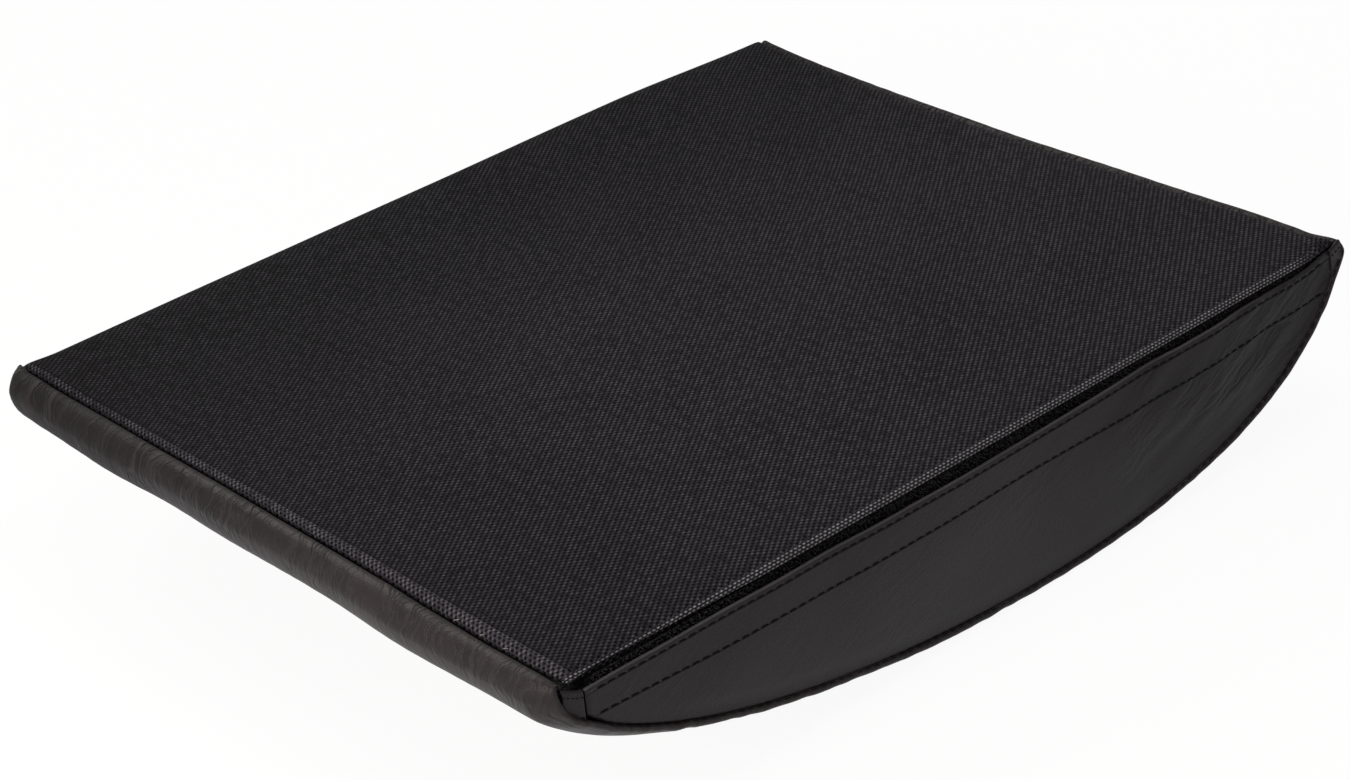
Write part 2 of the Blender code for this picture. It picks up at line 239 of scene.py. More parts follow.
# Right side with its closure, and the two corner tabs
SIDE_COLUMN = 0.0022
SIDE_ROWS = 26
SIDE_BULGE = 0.002
SIDE_WAVE_RAMP = 0.09
SIDE_WAVE = 0.0004
CREASE_DEPTH = 0.0009
CREASE_START = 0.03
CREASE_RAMP = 0.1
CREASE_ACROSS = 0.365
CREASE_DOWN = 0.93
SLIP_WOBBLE = 0.0002
SLIP_FADE = (0.004, 0.024)
HEM_ROLL = 0.0008
HEM_STEPS = 6
HEM_TURN = 0.0032
HEM_ROW = 0.0086
TAPE_ROW = 0.0183
SEAM_CURL_START = 0.0013
SEAM_CURL = ((0.0002, 0.0007), (0.0005, 0.0002), (0.0010, -0.0005))
BLEND_START = 0.0242
BLEND_END = 0.0186
TAB_STEP = 0.0005
TAB_ROWS = 8
NEAR_TAB_TOP = (SIDE_TOP_DEPTH + 0.0007, 0.0027)
FAR_TAB_TOP = (0.0038, 0.0021)

# Left side
LEFT_COLUMN = 0.003
LEFT_ROWS = 24
LEFT_BULGE = 0.0014
LEFT_WAVE = 0.0003
LEFT_TUCK = 0.0006

# Tapes and foam
LINE_STEP = 0.004
STRIP_ROWS = 8
FOAM_EASE = 0.0006
FOAM_NOSE_EASE = 0.0014
FOAM_NOSE_END = -0.06
FOAM_NOSE_RAMP = 0.05
FOAM_VOXEL = 0.003
FOAM_CORNER_X = 0.132
FOAM_CORNER_Y = 0.165
FOAM_CORNER_RAMP = 0.014
FOAM_CORNER_CUT = 0.007

# Stitches: the pitch of a row, the length of a stitch and the radius of its thread
PLAIN_STITCH = (0.0041, 0.0033, 0.00025)
TAB_STITCH = (0.0016, 0.0012, 0.0002)
BASE_STITCH = (0.0033, 0.0026, 0.0004)
STITCH_INSET = 0.0065
LOOSE_ENDS = ((0.0995, 0.0022), (0.1120, 0.0015), (0.1240, 0.0018))
LOOSE_RADIUS = 0.00018

# Colours of the leatherette
DARK_GRAIN = (0.0058, 0.0039, 0.0043)
PALE_GRAIN = (0.0150, 0.0102, 0.0111)
# Painted shade over the left of the dome, and painted highlights over its right and along its left end
LEFT_PAINTED_SHADE = (0.0015, 0.0011, 0.0012)
RIGHT_PAINTED_HIGHLIGHT = (0.024, 0.0175, 0.0185)
LEFT_END_HIGHLIGHT = (0.030, 0.0245, 0.0245)
# Painted shade in the hollows of the puckers and painted highlight on their crests
PUCKER_SHADE = (0.0022, 0.0016, 0.0017)
PUCKER_HIGHLIGHT = (0.037, 0.0315, 0.032)
# Painted shade in the closure's stitch lines and towards its far end, and a painted highlight along its hem
STITCH_SHADE = (0.002, 0.002, 0.002)
FAR_CLOSURE_SHADE = (0.0015, 0.0010, 0.0012)
HEM_HIGHLIGHT = (0.054, 0.050, 0.053)

# Colours of the woven base, the foam and the thread
WEAVE_GAP = (0.0005, 0.0005, 0.0007)
WEAVE_FACE = (0.100, 0.094, 0.109)
# Painted highlights on the beads of the right edge
BEAD_HIGHLIGHT = (0.30, 0.285, 0.31)
FOAM_FACE = (0.30, 0.30, 0.31)
FOAM_PORE = (0.12, 0.12, 0.125)
THREAD_HOLLOW = (0.0022, 0.0021, 0.0022)
THREAD_FACE = (0.0085, 0.0080, 0.0082)

# Camera, floor and light; a lamp is its place, aim, size, power and colour
CAMERA_LENS = 88.504
CAMERA_PLACE = (0.82100752, -0.67958746, 0.63717155)
CAMERA_TURN = (
    (0.66959864, -0.31558566, 0.67234169),
    (0.73789812, 0.38568314, -0.55385456),
    (-0.08452229, 0.86697993, 0.49112298),
)
WHITE = (1, 1, 1, 1)
FLOOR_COLOUR = (0.9, 0.9, 0.9, 1)
FLOOR_GLOW = 0.93
FLOOR_SIZE = 3.0
WORLD_LIGHT = 0.4
LAMPS = {
    "key": ((-2.4, 0.2, 2.0), (0, 0, 0.03), 2.0, 50, (1.0, 0.96, 0.93)),
    "top": ((0.2, 0.1, 1.0), (0, 0, 0.07), 0.5, 2.2, (1.0, 0.97, 0.95)),
    "front": ((0.17, -0.75, 0.4), (0.03, -0.19, 0.05), 0.3, 3.9, (1.0, 0.91, 0.86)),
    "fill": ((1.3, -0.9, 0.8), (0, 0, 0.03), 1.0, 0.8, (0.98, 0.96, 1.0)),
}


# Rises, fades and unevenness

def limited(share):
    """A share held between 0 and 1."""
    return max(0.0, min(1.0, share))


def smooth(share):
    """A rise from 0 to 1 that levels out at both ends."""
    share = limited(share)
    return share * share * (3 - 2 * share)


def ease(share):
    """A rise from 0 to 1 that levels out at its end."""
    return math.sin(limited(share) * math.pi / 2)


def fade(value, start, span):
    """A smooth fall from 1 to 0 that begins at a start and takes a span."""
    return 1 - smooth((value - start) / span)


def mix(a, b, share):
    """A number between two others."""
    return a + (b - a) * share


def ripple(x, y=0.0, seed=0.0):
    """Smooth unevenness between about -1 and 1."""
    return 2 * noise(Vector((x, y, seed + 0.37)))


def through(table, spot):
    """A value that passes smoothly through the ones that a table gives at some places."""
    if spot <= table[0][0]:
        return table[0][1]
    for (a, low), (b, high) in zip(table, table[1:]):
        if spot <= b:
            return mix(low, high, smooth((spot - a) / (b - a)))
    return table[-1][1]


def seam_depth(x):
    """How deep the near base seam lies across the mat."""
    return through(SEAM_DEPTHS, x)


def seam_pull(x):
    """How far the near base seam is drawn in across the mat."""
    return through(SEAM_PULLS, x)


def place(x, along, depth):
    """A point from its X, its distance along the mat and its depth."""
    return Vector((x, along + BASE_SHIFT, REST_HEIGHT - depth))


def settle(point):
    """Moves a point of the sewn cover to where the cloth has pulled it."""
    x, y, z = point
    along = y - BASE_SHIFT
    depth = REST_HEIGHT - z
    high = fade(depth, 0, PULL_DEPTH)
    far = smooth((along - FAR_PULL_START) / (HALF_LENGTH - FAR_PULL_START))
    across = limited((x + HALF_WIDTH) / FAR_PULL_SPAN)
    pull = math.sin(math.pi * across ** 0.75) * far * high
    left = smooth((-x - LEFT_PULL_START) / (HALF_WIDTH - LEFT_PULL_START))
    left *= high * fade(along, LEFT_PULL_END, HALF_LENGTH - LEFT_PULL_END)
    far_ear = max(0.0, 1 - math.hypot(x - HALF_WIDTH, along - HALF_LENGTH) / EAR_SIZE)
    rise = FAR_EAR_RISE * smooth(far_ear) * high
    full = smooth((along - FAR_FULL_START) / FAR_FULL_SPAN) * smooth(depth / FAR_FULL_DEPTH)
    lift = LEFT_PULL_UP * left + rise - FAR_PULL_DOWN * pull - FAR_FULL_DOWN * full
    round_out = FAR_ROUND * math.exp(-((along - FAR_ROUND_AT) / FAR_ROUND_SPREAD) ** 2)
    round_out *= smooth((depth - FAR_ROUND_DEPTH) / FAR_ROUND_RAMP)
    out = FAR_FULL_OUT * full + round_out * 0.6 - FAR_PULL_IN * pull
    return Vector((x - LEFT_PULL_OUT * left, y + out, max(0.0002, z + lift - round_out * 0.8)))


# Side outline of the cover

def side_knots():
    """Knots of the arc seam: place along the mat, depth and heading, turned down from +Y."""
    top = HALF_LENGTH + SEAM_OFFSET
    end = HALF_LENGTH + END_OVERHANG
    return (
        (-top, BASE_EDGE_DEPTH, math.pi),
        (-end, NEAR_END_DEPTH, math.pi / 2),
        (NEAR_SHOULDER_INSET - end, NEAR_SHOULDER_DEPTH, NEAR_SLOPE),
        (CREST_SHIFT, CREST_DEPTH, 0.0),
        (end - FAR_SHOULDER_INSET, FAR_SHOULDER_DEPTH, -FAR_SLOPE),
        (end, FAR_END_DEPTH, -math.pi / 2),
        (top, BASE_EDGE_DEPTH, -math.pi),
    )


def heading(angle):
    """A direction in the plane of Y and height."""
    return Vector((math.cos(angle), -math.sin(angle), 0))


def side_outline():
    """Points of the arc seam in the plane of Y and height."""
    points = []
    knots = side_knots()
    for start, end, shares, steps in zip(knots, knots[1:], SPAN_SHARES, SPAN_STEPS):
        a = Vector((start[0], -start[1], 0))
        b = Vector((end[0], -end[1], 0))
        run = (b - a).length
        leave = a + heading(start[2]) * run * shares[0]
        arrive = b - heading(end[2]) * run * shares[1]
        points += interpolate_bezier(a, leave, arrive, b, steps + 1)[:-1]
    last = knots[-1]
    return points + [Vector((last[0], -last[1], 0))]


class Path:
    """A row of points that can be read at any distance along it."""

    def __init__(self, points):
        self.points = [Vector(p) for p in points]
        self.marks = [0.0]
        for a, b in zip(self.points, self.points[1:]):
            self.marks.append(self.marks[-1] + (b - a).length)
        self.length = self.marks[-1]

    def at(self, distance):
        """The point at a distance, held at both ends."""
        distance = max(0.0, min(self.length, distance))
        low, high = 0, len(self.marks) - 1
        while high - low > 1:
            middle = (low + high) // 2
            if self.marks[middle] <= distance:
                low = middle
            else:
                high = middle
        span = self.marks[high] - self.marks[low]
        share = (distance - self.marks[low]) / span if span else 0
        return self.points[low].lerp(self.points[high], share)

    def outward(self, distance):
        """The direction out of the cover."""
        along = (self.at(distance + 0.001) - self.at(distance - 0.001)).normalized()
        return Vector((along.y, -along.x, 0))


OUTLINE = Path(side_outline())


def arc_depth(along):
    """How deep the arc seam is at a place along the mat, between its two shoulders."""
    below = [p for p in OUTLINE.points if p.y < -NEAR_SHOULDER_DEPTH]
    before = [p for p in below if p.x <= along]
    after = [p for p in below if p.x > along]
    a = before[-1] if before else below[0]
    b = after[0] if after else below[-1]
    share = (along - a.x) / (b.x - a.x) if b.x != a.x else 0
    return -mix(a.y, b.y, limited(share))


def outline_bottom(along):
    """The lower crossing of the side outline at a place near an end."""
    under = [-p.y for p in OUTLINE.points if abs(p.x - along) < 0.0006]
    return max(under) if under else SIDE_TOP_DEPTH + 0.004


def fullness(distance):
    """How far the cover has rolled out of its base seam, from 0 to 1."""
    return ease(min(distance, OUTLINE.length - distance) / TUCK_LENGTH)


def nose_share(distance):
    """How much of the nose's swell is left at a distance from the near seam."""
    return 1 - ease((distance - NOSE_LENGTH) / NOSE_FADE) ** 2


def nose_swell(x):
    """How far the nose swells out, less towards its two sides and in the hollow of its middle."""
    hollow = smooth((x - NOSE_HOLLOW_LEFT) / NOSE_HOLLOW_RAMP)
    hollow *= smooth((NOSE_HOLLOW_RIGHT - x) / NOSE_HOLLOW_RAMP)
    ramp = NOSE_RAMP if x > 0 else LEFT_NOSE_RAMP
    return (NOSE_SWELL - NOSE_HOLLOW * hollow) * ease((GUSSET_FACE - abs(x)) / ramp)


def lip_lift(x, distance):
    """How far the near lip stands above its flat pattern, down from the seam."""
    lift = (BASE_EDGE_DEPTH - seam_depth(x) - LIP_SINK) * fade(distance, 0, LIP_REACH)
    return lift - LIP_TUCK * fade(distance, 0, LIP_TUCK_REACH)


# Mesh helpers

def steps_between(low, high, size):
    """Evenly spaced numbers from low to high, about a size apart."""
    count = max(1, round((high - low) / size))
    return [low + (high - low) * i / count for i in range(count + 1)]


def add_object(name, data):
    """Puts a mesh, a lamp or a camera in the scene as an object."""
    item = bpy.data.objects.new(name, data)
    bpy.context.scene.collection.objects.link(item)
    return item


def sheet_object(name, rows, look, flip=False):
    """A surface through rows of points, each with its place on the flat cloth in metres."""
    mesh = bpy.data.meshes.new(name)
    work = bmesh.new()
    layer = work.loops.layers.uv.new("UVMap")
    rings = [[work.verts.new(point) for point, _ in row] for row in rows]
    for r in range(len(rows) - 1):
        for i in range(len(rows[0]) - 1):
            corners = [(r, i), (r, i + 1), (r + 1, i + 1), (r + 1, i)]
            if flip:
                corners.reverse()
            face = work.faces.new([rings[a][b] for a, b in corners])
            face.smooth = True
            for loop, (a, b) in zip(face.loops, corners):
                loop[layer].uv = rows[a][b][1]
    work.to_mesh(mesh)
    work.free()
    mesh.materials.append(look)
    return add_object(name, mesh)


def thicken(item, thickness):
    """Gives a surface its thickness, inwards."""
    shell = item.modifiers.new("Thickness", "SOLIDIFY")
    shell.thickness = thickness
    shell.offset = -1
    return item


def plain_mesh(item):
    """Applies an object's modifiers."""
    graph = bpy.context.evaluated_depsgraph_get()
    made = bpy.data.meshes.new_from_object(item.evaluated_get(graph))
    made.name = item.name
    item.modifiers.clear()
    item.data = made
    return item


def hand_over(item, body, slot, *nodes):
    """Puts a piece on its body and in place of its solids; the slot that it is given is not used."""
    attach(item, body)
    if nodes:
        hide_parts(*nodes)
    return item


# Materials

class Wire:
    """An output of a shader node that takes part in arithmetic."""

    def __init__(self, look, socket):
        self.look = look
        self.socket = socket

    def maths(self, operation, *others):
        """A Math node on this output and others."""
        return self.look.node("Math", dict(enumerate((self, *others))), operation=operation)

    def __add__(self, other):
        return self.maths("ADD", other)

    def __mul__(self, other):
        return self.maths("MULTIPLY", other)

    def __truediv__(self, other):
        return self.maths("DIVIDE", other)

    def __sub__(self, other):
        return self.maths("SUBTRACT", other)

    def __rsub__(self, other):
        return self.look.node("Math", {0: other, 1: self}, operation="SUBTRACT")

    def __pow__(self, other):
        return self.maths("POWER", other)

    __radd__ = __add__
    __rmul__ = __mul__

    def clamped(self):
        """This output, held between 0 and 1."""
        return self.look.node("Clamp", {0: self})

    def between(self, low, high):
        """A rise from 0 at low to 1 at high."""
        return self.look.node("MapRange", {0: self, 1: low, 2: high}, interpolation_type="SMOOTHSTEP")


class Look:
    """A material, or the world, whose nodes are written as expressions."""

    def __init__(self, name, world=False):
        self.made = bpy.data.worlds.new(name) if world else bpy.data.materials.new(name)
        self.made.use_nodes = True
        self.end = "ShaderNodeOutputWorld" if world else "ShaderNodeOutputMaterial"
        self.tree = self.made.node_tree
        self.tree.nodes.clear()

    def node(self, kind, values=(), result=0, **settings):
        """Adds a node, sets it up, fills its sockets and gives one of its outputs."""
        made = self.tree.nodes.new("ShaderNode" + kind)
        for name, value in settings.items():
            setattr(made, name, value)
        for key, value in dict(values).items():
            if isinstance(value, Wire):
                self.tree.links.new(value.socket, made.inputs[key])
            else:
                made.inputs[key].default_value = value
        return Wire(self, made.outputs[result])

    def blend(self, factor, a, b):
        """A mix of two colours."""
        a = (*a, 1) if isinstance(a, tuple) else a
        b = (*b, 1) if isinstance(b, tuple) else b
        return self.node("Mix", {0: factor, 6: a, 7: b}, result=2, data_type="RGBA")

    def object_place(self):
        """The place on the object, in metres."""
        return self.node("TexCoord", result=3)

    def cloth_place(self):
        """The two distances on the flat cloth, in metres."""
        flat = self.node("UVMap", uv_map="UVMap")
        split = {0: flat}
        return self.node("SeparateXYZ", split, 0), self.node("SeparateXYZ", split, 1)

    def noise(self, spot, scale, detail=2.0):
        """Cloudy unevenness around a half."""
        return self.node("TexNoise", {"Vector": spot, "Scale": scale, "Detail": detail})

    def combed(self, across, along, detail):
        """Noise drawn out into lines, by two distances that are scaled unlike each other."""
        return self.noise(self.node("CombineXYZ", {0: across, 1: along}), 1.0, detail)

    def bump(self, height, depth, strength=1.0, under=None):
        """A height from 0 to 1 that stands a depth in metres, over another bump if there is one."""
        values = {"Height": height, "Distance": depth, "Strength": strength}
        if under:
            values["Normal"] = under
        return self.node("Bump", values)

    def surface(self, colour, roughness, normal=None, **fixed):
        """Ends the material in a plain surface, with some sockets at fixed values."""
        values = {"Base Color": colour, "Roughness": roughness}
        if normal:
            values["Normal"] = normal
        for name, value in fixed.items():
            values[name.replace("_", " ").title().replace("Ior", "IOR")] = value
        self.output(self.node("BsdfPrincipled", values))
        return self.made

    def output(self, shader):
        """Ends the nodes in a shader."""
        end = self.tree.nodes.new(self.end)
        self.tree.links.new(shader.socket, end.inputs["Surface"])


def mound(a, width, b, height):
    """A smooth hill that is 1 high, from two distances and how far it reaches along each."""
    return (0 - (a / width) ** 2 - (b / height) ** 2).maths("EXPONENT")


def slanted(along, down):
    """Distances across and along the slanting creases of the closure, from numbers or outputs."""
    return along * CREASE_ACROSS + down * CREASE_DOWN, along * CREASE_DOWN - down * CREASE_ACROSS


def leatherette(name, finish=None):
    """Black coated cloth with a fine pebbled grain, and what a finish adds to it."""
    look = Look(name)
    spot = look.object_place()
    jitter = look.node("TexNoise", {"Vector": spot, "Scale": 900.0}, 1)
    jitter = look.node("VectorMath", {0: jitter, 3: 0.0006}, operation="SCALE")
    bent = look.node("VectorMath", {0: jitter, 1: spot}, operation="ADD")
    cells = look.node("TexVoronoi", {"Vector": bent, "Scale": 820.0}, feature="DISTANCE_TO_EDGE")
    grain = cells.between(0.0, 0.22)
    fine = look.noise(spot, 2600.0)
    cloud = look.noise(spot, 38.0, 3.0)
    tint = (cloud - 0.5) * 0.8 + grain * 0.35 + 0.3
    colour = look.blend(tint.clamped(), DARK_GRAIN, PALE_GRAIN)
    normal = look.bump(grain * 0.75 + fine * 0.35, 0.00006)
    dull = 0.0
    if finish:
        colour, normal, dull = finish(look, spot, colour, normal)
    roughness = fine * 0.10 + cloud * 0.08 + 0.40 + dull
    return look.surface(colour, roughness, normal, specular_ior_level=0.22)


def dome_puckers(look, spot, colour, normal):
    """What the dome adds: puckers along its end seams with painted shade and highlight on them, gathers at
    its sides, painted shade over its left and painted highlights over its right and along its left end.
    """
    across, along = look.cloth_place()
    bend = look.noise(spot, 70.0) * 0.016
    swirl = look.combed((across + bend) * 290.0, along * 90.0, 3.0) - 0.5
    folds = swirl.maths("ABSOLUTE").between(0.0, 0.13)
    patch = look.noise(spot, 42.0, 1.0).between(0.35, 0.65) * 0.8 + 0.2
    near = (1 - along.between(0.004, 0.024)) * (1 - across.between(-0.12, 0.06) * 0.6) * patch * 0.95
    far = along.between(OUTLINE.length - 0.014, OUTLINE.length - 0.001)
    seam = across.maths("ABSOLUTE").between(0.1440, 0.1545)
    gathered = look.combed(across * 60.0, along * 190.0, 1.0) * seam
    normal = look.bump(folds * (near + far) + gathered, 0.0009, under=normal)
    # Painted shade over the left of the dome, and painted highlights over its right and along its left end
    colour = look.blend(0.5 - across.between(-0.15, -0.02) * 0.5, colour, LEFT_PAINTED_SHADE)
    colour = look.blend(across.between(-0.04, 0.06) * 0.5, colour, RIGHT_PAINTED_HIGHLIGHT)
    colour = look.blend((1 - across.between(-0.153, -0.142)) * 0.7, colour, LEFT_END_HIGHLIGHT)
    # Painted shade in the hollows of the puckers and painted highlight on their crests
    colour = look.blend((1 - folds) * (near * 0.9).clamped(), colour, PUCKER_SHADE)
    colour = look.blend(swirl.between(0.03, 0.15) * near * 0.5, colour, PUCKER_HIGHLIGHT)
    return colour, normal, 0.2 - across.between(-0.13, -0.01) * 0.2


def closure_wear(look, spot, colour, normal):
    """What the closure adds: drawn-in lines at its stitches with painted shade in them, painted shade towards
    its far end, a painted highlight along its hem and slanting creases.
    """
    down, along = look.cloth_place()
    hem, tape = ((down - line).maths("ABSOLUTE").between(0.0001, 0.0006) for line in (HEM_ROW, TAPE_ROW))
    drawn = 2 - hem - tape
    normal = look.bump(1 - drawn, 0.0003, under=normal)
    # Painted shade in the stitch lines, then painted shade that deepens towards the far end
    colour = look.blend(drawn * 0.2, colour, STITCH_SHADE)
    colour = look.blend(along.between(-0.02, 0.12) * 0.35 + 0.1, colour, FAR_CLOSURE_SHADE)
    # A painted highlight along the crest of the hem
    painted_light = 1 - (down - (HEM_DEPTH + 0.0001)).maths("ABSOLUTE").between(0.0001, 0.0005)
    cloud = look.noise(spot, 38.0, 3.0)
    painted_light = painted_light * (1 - along.between(0.1, 0.17) * 0.8) * (cloud * 0.8 + 0.4)
    colour = look.blend(painted_light, colour, HEM_HIGHLIGHT)
    slant, length = slanted(along, down)
    bend = look.noise(spot, 45.0) * 0.009
    crease = look.combed((slant + bend) * 170.0, length * 34.0, 3.0) - 0.5
    crease = crease.maths("ABSOLUTE").between(0.0, 0.12)
    patch = look.noise(spot, 30.0, 1.0).between(0.38, 0.62)
    slack = (along.between(0.0, 0.13) * 0.85 + 0.15) * patch
    normal = look.bump(crease * slack, 0.0004, 0.7, normal)
    return colour, normal, along.between(-0.02, 0.1) * 0.1


def weave_rows(across, along, open_weave):
    """The dark gaps between the rows of yarn, and the knuckles between the gaps."""
    v = along * (1 / WEAVE_ROW)
    row = (v + 0.5).maths("FLOOR")
    down = (v - row) * (1000 * WEAVE_ROW)
    u = (across - along * WEAVE_SKEW) * (1 / WEAVE_YARN) + row * 0.5
    aside = ((u + 0.5).maths("FRACT") - 0.5) * (1000 * WEAVE_YARN)
    middle = (u.maths("FRACT") - 0.5) * (1000 * WEAVE_YARN)
    tilted = down + aside * 0.22
    thick = ((tilted / (open_weave * 0.13 + 0.42)) ** 2) ** 1.5
    gap = (0 - ((aside / 0.80) ** 2) ** 1.5 - thick).maths("EXPONENT")
    return gap, mound(middle, 0.40, down - 0.1, 0.36)


def edge_bands(across, along):
    """Masks for the painted highlight on the near edge's turned-over band, painted shade in a line just
    behind it, and painted highlights on the right edge's band.
    """
    edge = across.between(-0.14, 0.06) * 0.0022 + (0.0024 - HALF_LENGTH)
    near_band_highlight = 1 - along.between(edge - 0.0003, edge + 0.0003)
    groove_shade = 1 - (along - edge - 0.0003).maths("ABSOLUTE").between(0.0001, 0.0005)
    right_band_highlight = across.between(HALF_WIDTH - 0.0028, HALF_WIDTH - 0.0022)
    return near_band_highlight, groove_shade, right_band_highlight * (1 - along.between(0.16, 0.178))


def bead_highlight_spots(across, along):
    """Staggered spots of painted highlight on the beads of yarn where the right edge turns over."""
    v = across * (1 / BEAD_ROW)
    row = (v + 0.5).maths("FLOOR")
    u = (along * (1 / BEAD_PITCH) + row * 0.5 + 0.5).maths("FRACT") - 0.5
    return mound(u, 0.29, v - row, 0.28)


def woven_nylon():
    """Close plain weave: flat yarns across the mat, with staggered dark gaps between their rows, painted
    shade towards the left and near edges and in a line behind the near edge, and painted highlights along the
    near and right edges.
    """
    look = Look("black_woven_nylon")
    across, along = look.cloth_place()
    spot = look.object_place()
    open_weave = 1 - across.between(-HALF_WIDTH, 0.03) * along.between(-HALF_LENGTH, 0)
    gap, knuckle = weave_rows(across, along, open_weave)
    near_band_highlight, groove_shade, right_band_highlight = edge_bands(across, along)
    fibre = look.noise(spot, 3200.0)
    cloud = look.noise(spot, 26.0, 4.0)
    patch = look.noise(spot, 340.0, 1.0)
    flat = (1 - gap) * (fibre * 0.5 + 0.75) * ((cloud - 0.5) * 0.7 + 1) * (open_weave * 0.15 + 1)
    bright = knuckle * patch.between(0.3, 0.7)
    # Painted shade towards the left and near edges
    painted_light = across.between(-HALF_WIDTH, 0.02) * 0.36 + 0.62
    painted_light = painted_light * (along.between(-HALF_LENGTH, -0.03) * 0.24 + 0.76)
    # The weave is painted out under the right edge's band, where painted highlights go on instead
    shade = (flat * 0.18 + bright * 0.93) * painted_light * (1 - right_band_highlight)
    # Painted highlight on the near edge's band and painted shade in a line behind it
    shade = shade * (near_band_highlight * 1.5 + 1) * (1 - groove_shade * 0.7)
    colour = look.blend(shade.clamped(), WEAVE_GAP, WEAVE_FACE)
    # Painted highlights on the beads of the right edge
    beads = bead_highlight_spots(across, along) * (patch * 0.7 + 0.5) * right_band_highlight
    colour = look.blend(beads, colour, BEAD_HIGHLIGHT)
    height = 1 - gap * 0.85 + knuckle * 0.5 + fibre * 0.2
    return look.surface(colour, 0.7, look.bump(height, 0.00035), specular_ior_level=0.04)


def foam_cells():
    """Grey open-celled foam."""
    look = Look("foam_cells")
    spot = look.object_place()
    cells = look.node("TexVoronoi", {"Vector": spot, "Scale": 900.0})
    cloud = look.noise(spot, 50.0, 3.0)
    colour = look.blend((cells * 1.2 + cloud * 0.3).clamped(), FOAM_FACE, FOAM_PORE)
    return look.surface(colour, 0.95, look.bump(cells, 0.0006))


def tape_weave(name, dark, light, roughness):
    """The close ribbed backing of the hook and loop tapes."""
    look = Look(name)
    spot = look.object_place()
    ribs = {"Vector": spot, "Scale": 420.0, "Distortion": 0.6}
    ribs = look.node("TexWave", ribs, 1, bands_direction="Y")
    fine = look.noise(spot, 2400.0)
    colour = look.blend((ribs * 0.5 + fine * 0.5).clamped(), dark, light)
    normal = look.bump(ribs + fine * 0.5, 0.0001)
    return look.surface(colour, roughness, normal, specular_ior_level=0.05)


def twisted_thread():
    """Black polyester thread with a slight lustre."""
    look = Look("twisted_thread")
    plies = {"Vector": look.object_place(), "Scale": 900.0, "Distortion": 0.3}
    plies = look.node("TexWave", plies, 1, bands_direction="DIAGONAL")
    colour = look.blend(plies, THREAD_HOLLOW, THREAD_FACE)
    return look.surface(colour, 0.7, look.bump(plies, 0.00008), specular_ior_level=0.08)


LEATHER = leatherette("pebbled_leatherette")
SIDE_LEATHER = leatherette("stitched_leatherette", closure_wear)
DOME_LEATHER = leatherette("puckered_leatherette", dome_puckers)
WOVEN = woven_nylon()
FOAM = foam_cells()
HOOK = tape_weave("hook_tape_backing", (0.003, 0.003, 0.003), (0.012, 0.012, 0.012), 0.5)
LOOP = tape_weave("loop_tape_backing", (0.001, 0.001, 0.001), (0.006, 0.006, 0.006), 0.9)
PILE = tape_weave("loop_pile", (0.006, 0.006, 0.0065), (0.08, 0.08, 0.086), 0.8)
THREAD = twisted_thread()
PALE_THREAD = tape_weave("pale_thread", (0.16, 0.15, 0.14), (0.30, 0.28, 0.27), 0.8)


# Dome cover

def roll_stations():
    """Places from the +X seam to just inside the roll: X where tucked, X where rolled, offset."""
    stations = []
    middle = GUSSET_FACE - ROLL_INSET
    for step in range(ROLL_STEPS + 1):
        angle = mix(ROLL_START, math.pi / 2, step / ROLL_STEPS)
        flat = GUSSET_FACE - ROLL_TUCK - ROLL_INSET * step / ROLL_STEPS
        rolled = middle + ROLL_REACH * math.cos(angle)
        offset = ROLL_CENTRE + ROLL_RISE * math.sin(angle)
        stations.append((flat, rolled, offset))
    return stations


def cover_stations():
    """All places across the dome cover, from -X to +X, with how far it stands off its outline."""
    middle = GUSSET_FACE - ROLL_INSET
    inner = []
    for x in steps_between(COVER_CELL - middle, middle - COVER_CELL, COVER_CELL):
        inner.append((x, x, ROLL_CENTRE + ROLL_RISE + CROWN * (1 - (x / middle) ** 2)))
    right = roll_stations()
    left = [(-flat, -rolled, offset) for flat, rolled, offset in right]
    return left + inner + right[::-1]


def cover_rows():
    """Distances round the dome from its near seam, closest together along the seams."""
    length = OUTLINE.length
    zones = (
        (0, TUCK_LENGTH, LIP_ROWS),
        (TUCK_LENGTH, NOSE_ZONE, NOSE_ROWS),
        (NOSE_ZONE, length - FAR_ZONE, DOME_ROWS),
        (length - FAR_ZONE, length - TUCK_LENGTH, NOSE_ROWS),
        (length - TUCK_LENGTH, length, LIP_ROWS),
    )
    rows = [0.0]
    for low, high, size in zones:
        rows += steps_between(low, high, size)[1:]
    return rows


def gathers(x, distance):
    """How far the cover puckers out or in near the end seams."""
    near = math.exp(-distance / GATHER_REACH)
    far = math.exp((distance - OUTLINE.length) / GATHER_REACH)
    edge = smooth((GUSSET_FACE - abs(x)) / NOSE_RAMP)
    strong = mix(GATHER_LEFT, GATHER_RIGHT, smooth((x + HALF_WIDTH) / HALF_WIDTH))
    return GATHER_DEPTH * strong * edge * (near + far) * ripple(x / GATHER_PITCH, distance * 20)


